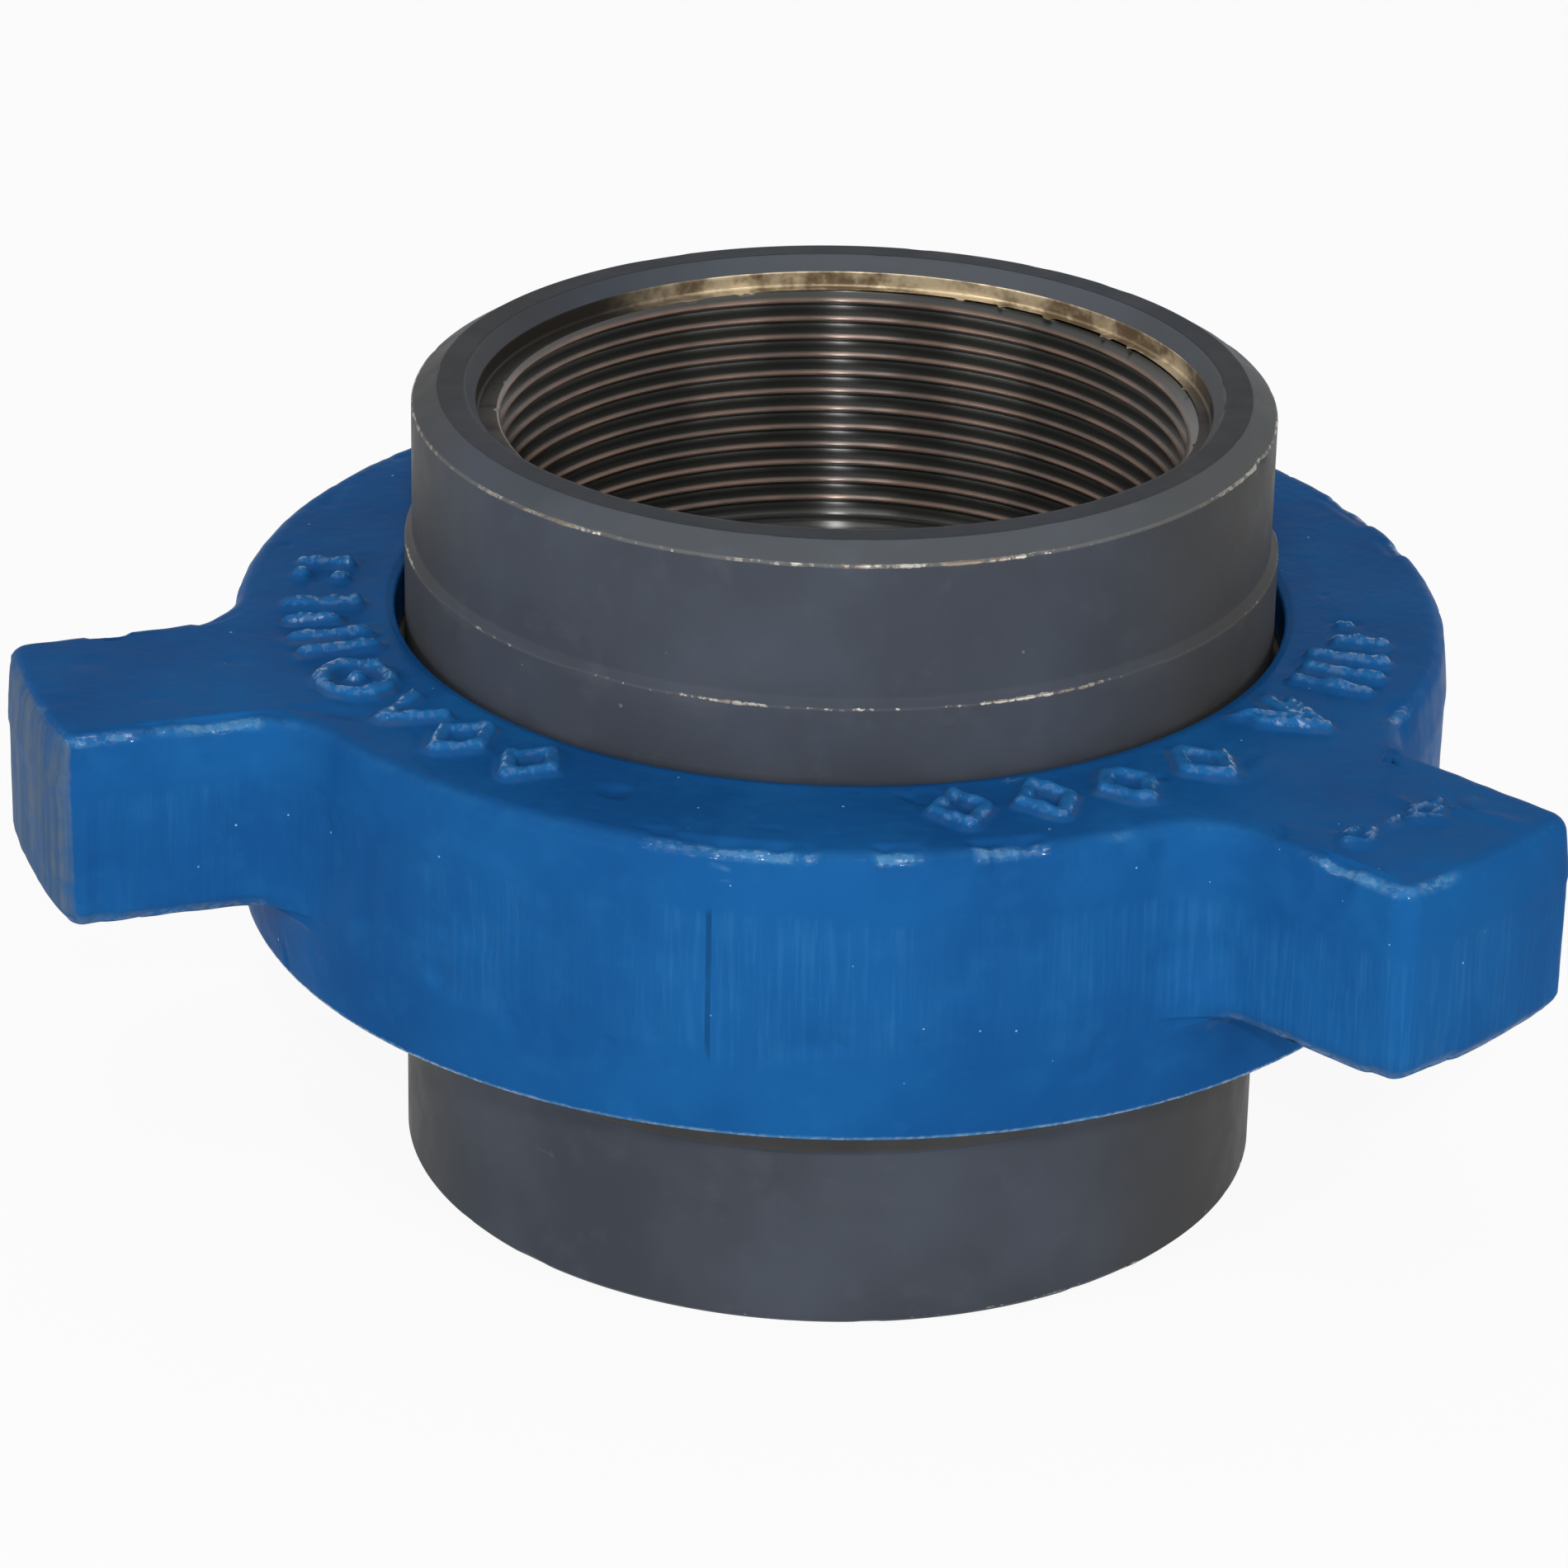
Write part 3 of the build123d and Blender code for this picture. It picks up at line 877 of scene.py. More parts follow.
def nut_table():
    """Points (rows, columns, 3), the zone of each row, and how far each column is on a lug.

    Zones: 0 face, 1 edge, 2 side, 3 under a lug, 4 rim, 5 the rim's lower edge, 6 foot.
    """
    lug = smooth(0.5, 7.0, np.hypot(outline[:, 0], outline[:, 1]) - RIM_RADIUS)
    rows, zones = [], []

    def offset(inset):
        return outline - outward * np.asarray(inset).reshape(-1, 1)

    def put(plan, height, zone):
        rows.append(np.column_stack([plan, np.broadcast_to(height, len(plan))]))
        zones.append(zone)

    start = offset(EDGE_ROUND + DRAFT)
    start_radius = np.hypot(start[:, 0], start[:, 1])
    ray = start / start_radius[:, None]
    for k in range(FACE_ROWS):
        share = k / FACE_ROWS
        put(ray * (LIP_EDGE + (start_radius - LIP_EDGE) * share)[:, None], NUT_FACE, 0)
    for turn in np.linspace(0, math.pi / 2, 7):
        inset = EDGE_ROUND * (1 - math.sin(turn)) + DRAFT
        put(offset(inset), NUT_FACE - EDGE_ROUND * (1 - math.cos(turn)), 1)
    crown_low = NUT_FACE - DRAFT_HEIGHT
    for share in np.arange(1, 7) / 6:
        height = NUT_FACE - EDGE_ROUND - (DRAFT_HEIGHT - EDGE_ROUND) * share
        put(offset(DRAFT * (1 - share)), height, 2)
    for share in np.arange(1, SIDE_ROWS + 1) / SIDE_ROWS:
        put(outline, crown_low + (BAND_LOW - crown_low) * share, 2)
    for share in (0.3, 0.55, 0.8, 1.0):
        height = BAND_LOW - 3.0 * share
        put(offset(lug * 2.1 * share**1.4 + (1 - lug) * (RIM_RADIUS - rim_at(height))), height, 3)
    edge = offset(lug * 2.1 + (1 - lug) * (RIM_RADIUS - rim_at(LUG_UNDER)))
    edge_radius = np.hypot(edge[:, 0], edge[:, 1])
    ray = edge / edge_radius[:, None]
    low = LUG_UNDER - COVE
    for share in np.arange(1, 11) / 10:
        if share <= 0.6:
            lug_radius = edge_radius + (rim_at(LUG_UNDER) + COVE - edge_radius) * share / 0.6
            lug_height = LUG_UNDER
        else:
            turn = (share - 0.6) / 0.4 * math.pi / 2
            lug_radius = rim_at(low) + COVE * (1 - math.sin(turn))
            lug_height = LUG_UNDER - COVE * (1 - math.cos(turn))
        rim_height = LUG_UNDER - COVE * share
        radius = lug * lug_radius + (1 - lug) * rim_at(rim_height)
        put(ray * radius[:, None], lug * lug_height + (1 - lug) * rim_height, 3)
    for share in np.arange(1, 6) / 5:
        height = low + (NUT_LOW + RIM_ROUND - low) * share
        put(ray * rim_at(height), height, 4)
    for turn in np.linspace(0, math.pi / 2, 5)[1:]:
        radius = rim_at(NUT_LOW) - RIM_ROUND * (1 - math.cos(turn))
        put(ray * radius, NUT_LOW + RIM_ROUND * (1 - math.sin(turn)), 5)
    for radius in (92.0, 88.5, 85.0):
        put(ray * radius, NUT_LOW, 6)
    return np.array(rows), np.array(zones), lug


def surface_directions(table):
    """Unit direction straight out of the surface at each point of the table."""
    around = np.roll(table, -1, 1) - np.roll(table, 1, 1)
    down = np.gradient(table, axis=0)
    out = np.cross(down, around)
    return out / np.maximum(np.linalg.norm(out, axis=2, keepdims=True), 1e-9)


plain_table, zone_of_row, lug_share = nut_table()
directions = surface_directions(plain_table)
middle_row = int(np.argmax(zone_of_row == 2)) + 8
lean = np.einsum("cj,cj->c", directions[middle_row][:, :2], outward)
if lean.mean() < 0:
    directions = -directions
print("nut table", plain_table.shape, "face rows point up:", round(float(directions[5, :, 2].mean()), 3))

# %% Battering, streaks and chips
def battered(table):
    """How far each point moves along its own direction, in millimetres, and three masks for the paint.

    The masks are the length along the outline, the sheared sides and the chips.
    """
    rows, columns = table.shape[:2]
    flat = table.reshape(-1, 3)
    zone = np.repeat(zone_of_row, columns)
    angle = np.degrees(np.arctan2(flat[:, 1], flat[:, 0])) % 360
    radius = np.hypot(flat[:, 0], flat[:, 1])
    steps = np.linalg.norm(np.roll(outline, -1, 0) - outline, axis=1)
    along = np.tile(np.concatenate([[0], np.cumsum(steps)[:-1]]), rows)
    height = flat[:, 2]

    wave = 0.22 * layered(flat, 26.0, 3) + 0.07 * layered(flat, 6.0, 11)
    move = wave - 0.10
    skin_lumps = 0.05 * layered(flat, 2.6, 23, 2)
    move += np.where(zone <= 2, skin_lumps, 0.0)

    face = smooth(LIP_EDGE + 0.5, LIP_EDGE + 4.0, radius) * (zone == 0)
    move += face * face_relief(flat[:, :2])
    scar = np.abs(noise(flat * np.array([1, 1, 0.01]), 17.0, 31))
    on_front_rim = smooth(322, 328, angle) * (1 - smooth(344, 352, angle)) * smooth(86, 90, radius)
    move += 0.45 * face * on_front_rim * (1 - smooth(0.02, 0.10, scar))

    ring = np.stack([along, np.zeros_like(along), np.zeros_like(along)], 1)
    face_share = np.repeat(np.arange(rows), columns) / FACE_ROWS
    edge_share = np.where(zone == 1, 1.0, 0.0) + (zone == 0) * smooth(0.90, 1.0, face_share)
    front = smooth(252, 262, angle) * (1 - smooth(296, 306, angle))
    chip = smooth(-0.25, 0.1, noise(ring, 9.0, 41)) * front
    chip += 0.6 * smooth(0.35, 0.6, noise(ring, 7.0, 42))
    chip += 0.8 * np.exp(-(((angle - 318.5) / 1.6) ** 2)) * (radius > 118)
    left_lug = np.exp(-(((angle - 219.5) / 3.2) ** 2)) * (radius > 98)
    chip += left_lug * (0.5 + 0.7 * noise(flat, 3.0, 44))
    move -= 0.75 * edge_share * chip
    move += edge_share * 0.3 * noise(flat, 2.2, 43) * np.clip(chip + 0.2, 0, 1)
    pimple = np.hypot(flat[:, 0] - 38.2, flat[:, 1] + 88.4)
    move += 1.1 * (1 - smooth(0.5, 2.6, pimple)) * (zone <= 1)

    step_at = NUT_FACE - DRAFT_HEIGHT - 1.2 + 2.0 * noise(ring, 38.0, 51) + 0.5 * noise(ring, 9.0, 52)
    sheared = smooth(0.0, 0.9, step_at - height) * np.isin(zone, (2, 3))
    lower_end = LUG_UNDER - 1.5 + 1.5 * noise(ring, 30.0, 53)
    sheared *= smooth(-2.0, 2.0, height - lower_end)
    streak = 0.5 * noise(ring, 2.1, 54) + 0.35 * noise(ring, 4.7, 55) + 0.5 * noise(ring, 15.0, 56)
    tremble = np.stack([along, height * 0.12, np.zeros_like(along)], 1)
    streak += 0.4 * noise(tremble, 2.4, 57)
    move -= sheared * (0.22 - 0.12 * streak)
    bruise = ding(flat, 9.0, 0.5, 61, 0.55) + ding(flat, 4.0, 0.3, 62, 0.6)
    move -= bruise * (zone <= 4)
    fixed = np.isin(zone, (5, 6)) | ((zone == 0) & (radius < LIP_EDGE + 0.1))
    move[fixed] = 0.0
    lip_pad = (zone == 0) * (1 - smooth(LIP_EDGE, LIP_EDGE + 3.0, radius))
    move = move * (1 - lip_pad)
    return move, along, sheared, chip


move, along, sheared, chip = battered(plain_table)
shape_of_table = plain_table.shape
nut_points = (plain_table + directions * move.reshape(shape_of_table[:2] + (1,))).reshape(-1, 3)
low_corner, high_corner = (np.array(corner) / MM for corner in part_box("wing_nut"))
nut_points[:, :2] = np.clip(nut_points[:, :2], low_corner[:2], high_corner[:2])
print("moved between", round(float(move.min()), 2), "and", round(float(move.max()), 2), "mm")

# %% [markdown]
# Inside, the nut is machined: an entry bevel, the coarse thread, a relief groove where the
# thread tool ran out, and the lip that bears on the collar. The bore needs fewer columns
# than the outside, so the two are zipped together by angle at the lip and at the foot.

# %% The nut
BORE_COLUMNS = 240


def make_nut():
    skin = Skin()
    table_index = skin.add_points(nut_points, 0.0).reshape(shape_of_table[:2])
    for k in range(shape_of_table[0] - 1):
        skin.join_rings(table_index[k], table_index[k + 1], 0 if zone_of_row[k + 1] < 6 else 1)
    lip = rounded_section([
        (LIP_EDGE - 0.05, NUT_FACE - 0.02, 0, 1, 0.2, 0),
        (LIP_BORE, NUT_FACE - 0.3, 0.7, 1, 0.2, 0),
        (LIP_BORE, 86.1, 0.2, 1, 0, 1),
        (72.2, COLLAR_TOP, 0, 4, 0, 1),
        (RELIEF, COLLAR_TOP, 0, 4, 0, 1),
        (RELIEF, SCREW_HIGH, 0, 1, 0, 1),
    ])
    lip_ring = skin.turned(lip, BORE_COLUMNS)

    def least_radius(z):
        return np.maximum(ENTRY - (z - NUT_LOW), RELIEF - (SCREW_HIGH - z))

    before = len(skin.points)
    skin.climbing(
        lambda z: np.maximum(80.0, least_radius(z)),
        NUT_LOW, SCREW_HIGH, SCREW_PITCH, SCREW_PHASES, BORE_COLUMNS, 2,
    )
    foot = skin.ring(ENTRY, NUT_LOW, BORE_COLUMNS, 0.4)
    skin.zip_rings(table_index[0], lip_ring, 0)
    skin.zip_rings(table_index[-1], foot, 1)
    heights = np.array(skin.points)[:, 2]
    least = np.zeros(len(heights))
    least[before:] = least_radius(heights[before:])
    return skin, least


nut_skin, nut_least = make_nut()
number = len(nut_skin.points)


def padded_out(values):
    """Values for the outside's points, and zero for the bore's."""
    return np.concatenate([values, np.zeros(number - len(values))])


outer_zone = np.repeat(zone_of_row, shape_of_table[1])
plain_x, plain_y, _ = plain_table.reshape(-1, 3).T
tip = np.isin(outer_zone, (1, 2)) * smooth(130.6, 132.6, np.hypot(plain_x, plain_y))
outer_angle = np.degrees(np.arctan2(nut_points[:, 1], nut_points[:, 0])) % 360
left_tip = tip * (np.abs(outer_angle - 210) < 12)
right_tip = tip * (np.abs(outer_angle - 330) < 12)
row = np.repeat(np.arange(shape_of_table[0]), shape_of_table[1])
on_lug = np.tile(lug_share, shape_of_table[0])
edge_row = np.exp(-((row - FACE_ROWS - 2.5) / 2.2) ** 2)
foot_edge = (outer_zone == 5) * 1.0
under_edge = np.exp(-(((nut_points[:, 2] - LUG_UNDER - 1.0) / 1.6) ** 2)) * on_lug
# Edge rows carry wear, which the enamel uses both for rubbed paint and for a painted highlight along the
# edges.
nut_edge_wear_and_highlight = edge_row * (0.35 + 0.65 * np.clip(chip, 0, 1)) + foot_edge + 0.5 * under_edge
cove = (outer_zone == 3) * on_lug
nut_skin.wear = padded_out(nut_edge_wear_and_highlight).tolist()
wing_nut = make_mesh("nut", nut_skin, {
    "least": nut_least * MM,
    "most": np.full(number, 0.2),
    "along": padded_out(along * MM),
    "sheared": padded_out(sheared),
    "bare": padded_out(np.clip(0.62 * left_tip + 0.15 * right_tip + 0.5 * cove, 0, 1)),
    "relief": padded_out((outer_zone == 0) * face_relief(nut_points[:, :2])),
})

# %% [markdown]
# Four effects turn up on every painted or machined surface here: paint rubbed through at
# the edges, thin scratches, dust that settles in patches, and bright specks, which on the nut's marks and
# edges also serve as painted glints. Each is built once as a node group that gives out a mask, and each
# finish places it with its own sizes.

# %% Effects shared by the finishes
def new_group(name, **inputs):
    """A shader node group: its wiring, its place and number inputs, and the socket for its mask."""
    tree = bpy.data.node_groups.new(name, "ShaderNodeTree")
    tree.interface.new_socket("Place", in_out="INPUT", socket_type="NodeSocketVector")
    for label, value in inputs.items():
        socket = tree.interface.new_socket(label, in_out="INPUT", socket_type="NodeSocketFloat")
        socket.default_value = value
    tree.interface.new_socket("Mask", in_out="OUTPUT", socket_type="NodeSocketFloat")
    wire = Wiring(tree)
    *given, _ = wire.add_all("NodeGroupInput")
    return wire, *given, wire.node("NodeGroupOutput").inputs["Mask"]


wire, place, wear, amount, size, mask = new_group("rubbed edge", Wear=0.0, Amount=0.5, Size=0.002)
uneven = wire.noise(place, size, 3.0, 0.6) * 0.9 + wire.noise(place, 0.022) * 1.1
level = 1.25 - amount
wire.feed(mask, wire.ramp(wear + (uneven - 1.0), level, level + 0.14))
rubbed_edge = wire.tree

wire, place, size, amount, mask = new_group("fine scratches", Size=0.004, Amount=0.3)
total = None
for k, stretch in enumerate([(1.0, 0.12, 0.3), (0.15, 1.0, 0.9), (0.3, 0.35, 1.6)]):
    stretched = wire.scaled(place, *stretch)
    lines = wire.add("ShaderNodeTexNoise", "Fac", Vector=stretched, Detail=1.0, Scale=(1.0 + 0.3 * k) / size)
    line = wire.ramp(abs(lines - 0.5), 0.0, 0.010, 1.0, 0.0)
    total = line if total is None else wire.larger(total, line)
patches = wire.noise(wire.scaled(place, 1.0, 1.0, 1.4), 0.011)
level = 0.8 - amount * 0.4
wire.feed(mask, total * wire.ramp(patches, level, level + 0.08))
fine_scratches = wire.tree

wire, place, size, amount, mask = new_group("dust patches", Size=0.02, Amount=0.5)
level = 0.75 - amount * 0.4
wire.feed(mask, wire.ramp(wire.noise(place, size, 5.0, 0.62), level, level + 0.25))
dust_patches = wire.tree

wire, place, size, amount, mask = new_group("bright specks", Size=0.003, Amount=0.2)
distance, cell_colour = wire.add_all("ShaderNodeTexVoronoi", Vector=place, Scale=1.0 / size)[:2]
pick, spread, _ = wire.add_all("ShaderNodeSeparateColor", Color=cell_colour)
wire.feed(mask, (pick < amount) * (distance < (spread + 0.35) * 0.07))
bright_specks = wire.tree
print("effects:", [g.name for g in (rubbed_edge, fine_scratches, dust_patches, bright_specks)])


# %% A finish to start from
def new_finish(name, **constants):
    """A material with its Principled shader and the point it colours, in the object's own frame."""
    material = bpy.data.materials.new(name)
    material.use_nodes = True
    material.node_tree.nodes.clear()
    wire = Wiring(material.node_tree)
    shader = wire.node("ShaderNodeBsdfPrincipled", **constants)
    wire.node("ShaderNodeOutputMaterial", Surface=Value(wire, shader.outputs[0]))
    return material, wire, shader, wire.add("ShaderNodeTexCoord", "Object")


def finish_off(wire, shader, base, roughness, height, depth, metallic=0.0):
    """Feeds colour, roughness and a bump whose depth is in millimetres."""
    wire.feed(shader.inputs["Base Color"], base)
    wire.feed(shader.inputs["Roughness"], roughness)
    wire.feed(shader.inputs["Metallic"], metallic)
    bump = wire.add("ShaderNodeBump", 0, Strength=1.0, Distance=depth * MM, Height=height)
    wire.feed(shader.inputs["Normal"], bump)


# %% [markdown]
# The nut wears a thick coat of blue enamel, brushed or sprayed on over a rough forging. Its
# edges are painted paler as a painted highlight and chipped, and its marks are painted lighter as a painted
# highlight, with painted glints, and wet-looking. One
# lug's end is rubbed down to grey, streaky metal. The sheared sides show upright lines
# through the paint in places. They follow the outline, so they use the length along it.

# %% Blue enamel
enamel, wire, shader, place = new_finish("blue enamel", Specular_IOR_Level=0.01, Coat_Roughness=0.14)
wear, bare, along_side = wire.value_of("wear"), wire.value_of("bare"), wire.value_of("along")
sheared_side, raised = wire.value_of("sheared"), wire.value_of("relief")
streak_place = wire.add("ShaderNodeCombineXYZ", 0, X=along_side, Y=wire.part(place, 2) * 0.05)
fine_streaks = wire.noise(streak_place, 0.0009, 2.0, 0.6)
wide_streaks = wire.noise(streak_place, 0.0065)
cloudy = wire.noise(place, 0.030, 3.0)
mottled = wire.noise(place, 0.007, 3.0, 0.6)
coat = wire.mix(wire.ramp(cloudy, 0.3, 0.7), colour(21, 77, 136), colour(24, 88, 149))
coat = wire.tint(coat, wire.ramp(mottled, 0.45, 0.75), 0.24, (34, 103, 162))
coat = wire.tint(coat, wire.ramp(wide_streaks, 0.35, 0.7) * sheared_side, 0.08, (42, 108, 168))
in_places = wire.ramp(cloudy, 0.44, 0.60, 0.15, 1.0) * sheared_side
coat = wire.tint(coat, wire.ramp(fine_streaks, 0.45, 0.70) * in_places, 0.16, (60, 122, 176))

upward = wire.ramp(wire.part(wire.add("ShaderNodeNewGeometry", "Normal"), 2), 0.55, 0.95)
around_marks = wire.ramp(raised, 0.01, 0.15) * wire.ramp(raised, 0.35, 0.8, 1.0, 0.0)
grime = around_marks * wire.ramp(mottled, 0.42, 0.7, 0.04, 0.36)
dust = wire.use(dust_patches, Place=place, Size=0.016, Amount=0.42)
dusty = wire.larger(dust * 0.05, grime) * upward
coat = wire.mix(dusty, coat, colour(84, 84, 78))
# Along the worn edges the blue is painted paler: a painted highlight.
painted_edge_highlight = wire.ramp(wear, 0.2, 0.8) * wire.ramp(mottled, 0.40, 0.68, 0.12, 0.46)
coat = wire.mix(painted_edge_highlight, coat, colour(66, 136, 192))
edge_mask = wire.use(rubbed_edge, Place=place, Wear=wear, Amount=0.56, Size=0.0012)
coat = wire.tint(coat, edge_mask, 0.42, (84, 142, 186))
near_edge = wire.larger(wire.ramp(wear, 0.25, 0.8), wire.ramp(raised, 0.4, 1.1))
# The raised marks are painted lighter blue towards their tops: a painted highlight.
coat = wire.tint(coat, wire.ramp(raised, 0.5, 1.2), 0.34, (44, 126, 190))
specks = wire.use(bright_specks, Place=place, Size=0.0026, Amount=0.10)
# The finer specks near the edges and on the marks are painted glints; the coarser ones are specks in the
# paint.
painted_glints = wire.use(bright_specks, Place=place, Size=0.0010, Amount=0.45)
coat = wire.tint(coat, wire.larger(specks, painted_glints * near_edge), 0.66, (158, 196, 222))
scratch = wire.use(fine_scratches, Place=place, Size=0.016, Amount=0.22)
coat = wire.tint(coat, scratch, 0.35, (104, 150, 190))

scraped = wire.noise(streak_place, 0.0032, 4.0, 0.65)
rubbed_metal = wire.mix(wire.ramp(scraped, 0.3, 0.75), colour(62, 90, 120), colour(108, 116, 122))
torn = wire.noise(place, 0.0052, 4.0, 0.65)
bare_mask = wire.ramp(bare + (torn - 0.5) * 0.5, 0.40, 0.72) * 0.8
coat = wire.mix(bare_mask, coat, rubbed_metal)
bumps = wire.noise(place, 0.0024, 3.0, 0.55) * 0.55 + wire.noise(place, 0.0007) * 0.10
bumps = bumps + fine_streaks * sheared_side * 0.60
bumps = bumps - edge_mask * 0.35 - bare_mask * (scraped * 0.9)
gloss = wire.blend(wire.ramp(mottled, 0.3, 0.7), 0.30, 0.42)
gloss = wire.blend(wire.larger(bare_mask, dusty), gloss, 0.55)
wet = near_edge * wire.ramp(wire.noise(place, 0.0011), 0.46, 0.58, 0.05, 1.0)
wire.feed(shader.inputs["Coat Weight"], wet * (1.0 - bare_mask))
finish_off(wire, shader, coat, gloss, bumps, 0.22)

# %% [markdown]
# The subs have one thin coat of dark slate paint, satin rather than glossy, over turned
# steel. Lathe lines show faintly through it. The end face is painted darker as painted shade, the
# chamfer lighter as a painted highlight, both sides browner as a painted warm reflection, and the corners are
# rubbed through to metal and a little rust, with a pale line along the chamfer's lower edge and the neck step
# that is both rubbed paint and a painted highlight.

# %% Slate paint
slate, wire, shader, place = new_finish("slate paint", Specular_IOR_Level=0.03)
wear = wire.value_of("wear")
across, _, height = wire.add_all("ShaderNodeSeparateXYZ", Vector=place)
mottled = wire.noise(place, 0.006, 4.0, 0.6)
coat = wire.mix(wire.ramp(wire.noise(place, 0.034, 3.0), 0.3, 0.7), colour(64, 69, 78), colour(75, 81, 92))
coat = wire.tint(coat, wire.ramp(mottled, 0.5, 0.8), 0.4, (82, 88, 98))
coat = wire.tint(coat, wire.use(dust_patches, Place=place, Size=0.026, Amount=0.30), 0.35, (74, 70, 64))
# Towards both sides, left and right across the view, the slate is tinted brown: a painted warm reflection.
coat = wire.mix(wire.ramp(abs(across), 0.044, 0.067, 0.0, 0.62), coat, colour(70, 67, 60))
on_face = wire.ramp(wire.part(wire.add("ShaderNodeNewGeometry", "True Normal"), 2), 0.93, 0.98)
# The chamfer is painted lighter as a painted highlight, and this fades towards the left.
near_top = wire.ramp(height, (TOP - 2.9) * MM, (TOP - 2.4) * MM)
on_chamfer = (near_top - on_face).clamped()
coat = wire.mix(on_chamfer * wire.ramp(across, -0.060, -0.012, 0.04, 0.36), coat, colour(104, 108, 110))
# The flat end face, found by its upward normal, is painted darker: painted shade.
coat = wire.tint(coat, on_face, 0.68, (44, 46, 49))
rust = wire.use(dust_patches, Place=place, Size=0.009, Amount=0.40)
coat = wire.tint(coat, rust * on_face, 0.6, (92, 80, 66))
edge_mask = wire.use(rubbed_edge, Place=place, Wear=wear, Amount=0.33, Size=0.0013)
worn_colour = wire.mix(wire.ramp(mottled, 0.4, 0.62), colour(176, 172, 162), colour(128, 114, 100))
# A pale line along the chamfer's lower edge and the neck step: rubbed paint and a painted highlight.
coat = wire.tint(coat, wire.ramp(wear, 0.85, 1.0), 0.26, (136, 132, 124))
coat = wire.mix(edge_mask * 0.75, coat, worn_colour)
coat = wire.tint(coat, wire.use(fine_scratches, Place=place, Size=0.010, Amount=0.16), 0.35, (122, 124, 124))
coat = wire.tint(coat, wire.use(bright_specks, Place=place, Size=0.0035, Amount=0.08), 0.4, (140, 140, 136))
bumps = wire.lathe_lines(place, 0.00045) * 0.35 + wire.noise(place, 0.0012, 3.0) * 0.45 - edge_mask * 0.5
gloss = wire.blend(wire.ramp(mottled, 0.3, 0.7), 0.40, 0.50)
finish_off(wire, shader, coat, wire.blend(edge_mask, gloss, 0.32), bumps, 0.06, edge_mask * 0.7)

# %% [markdown]
# The socket is machined and never painted. Its recess is tan, bright in places and spotted with
# rust; on the near side it is painted dark as shade, and the far side keeps its light colour as painted
# light. In the threads, oil and oxide stay in the grooves and turn green-black, while the crests are rubbed
# and show copper-brown. Turning marks run round the thread, so its shine is drawn out upright.

# %% Socket and thread finishes
recess_steel, wire, shader, place = new_finish("tan recess steel")
blotch = wire.noise(place, 0.010, 4.0, 0.65)
base = wire.mix(wire.ramp(blotch, 0.42, 0.60), colour(118, 100, 76), colour(208, 190, 158))
rust = wire.use(dust_patches, Place=place, Size=0.0085, Amount=0.62)
base = wire.tint(base, rust, 0.85, (82, 62, 44))
across, back, _ = wire.add_all("ShaderNodeSeparateXYZ", Vector=place)
# The near side of the recess is painted dark as shade, and the far side stays light as painted light.
lit_far_side = wire.ramp(across * 0.20 + back * 0.98, 0.022, 0.048)
base = wire.mix(lit_far_side, colour(44, 41, 38), base)
wire.feed(shader.inputs["Specular IOR Level"], wire.blend(lit_far_side, 0.05, 0.5))
bumps = wire.lathe_lines(place, 0.0005) * 0.4 + blotch * 0.6
metal = wire.blend(rust, 0.40, 0.1) * lit_far_side
finish_off(wire, shader, base, wire.blend(rust, 0.34, 0.62), bumps, 0.08, metal)

pipe_thread, wire, shader, place = new_finish(
    "copper-brown pipe thread", Anisotropic=1.0, Specular_IOR_Level=1.0
)
wire.feed(shader.inputs["Tangent"], wire.add("ShaderNodeCombineXYZ", 0, Z=1.0))
crest = wire.value_of("crest")
blotch = wire.noise(place, 0.010, 3.0)
groove = wire.mix(blotch, colour(26, 30, 27), colour(40, 40, 35))
top_colour = wire.mix(wire.ramp(blotch, 0.3, 0.7), colour(88, 70, 60), colour(122, 96, 82))
base = wire.mix(wire.ramp(crest, 0.62, 0.98), groove, top_colour)
lines = wire.lathe_lines(place, 0.00025, 0.03)
finish_off(wire, shader, base, wire.blend(crest, 0.30, 0.25), lines, 0.02, wire.blend(crest, 0.2, 0.45))

bare_steel, wire, shader, place = new_finish("machined steel")
blotch = wire.noise(place, 0.014, 4.0, 0.6)
base = wire.mix(wire.ramp(blotch, 0.3, 0.7), colour(96, 94, 90), colour(142, 138, 130))
rust = wire.use(dust_patches, Place=place, Size=0.012, Amount=0.34)
base = wire.tint(base, rust, 0.6, (88, 70, 54))
lines = wire.lathe_lines(place, 0.0005)
finish_off(wire, shader, base, wire.blend(rust, 0.36, 0.6), lines, 0.05, wire.blend(rust, 0.85, 0.3))

# The neck just under the nut's rim is painted near-black: a painted shadow, with some dust on it.
neck_in_painted_shadow, wire, shader, place = new_finish("neck in painted shadow")
blotch = wire.noise(place, 0.012, 4.0, 0.6)
base = wire.mix(wire.ramp(blotch, 0.3, 0.7), colour(28, 28, 29), colour(44, 44, 46))
base = wire.tint(base, wire.use(dust_patches, Place=place, Size=0.010, Amount=0.34), 0.5, (66, 54, 44))
finish_off(wire, shader, base, wire.blend(blotch, 0.42, 0.6), wire.lathe_lines(place, 0.0006), 0.05)

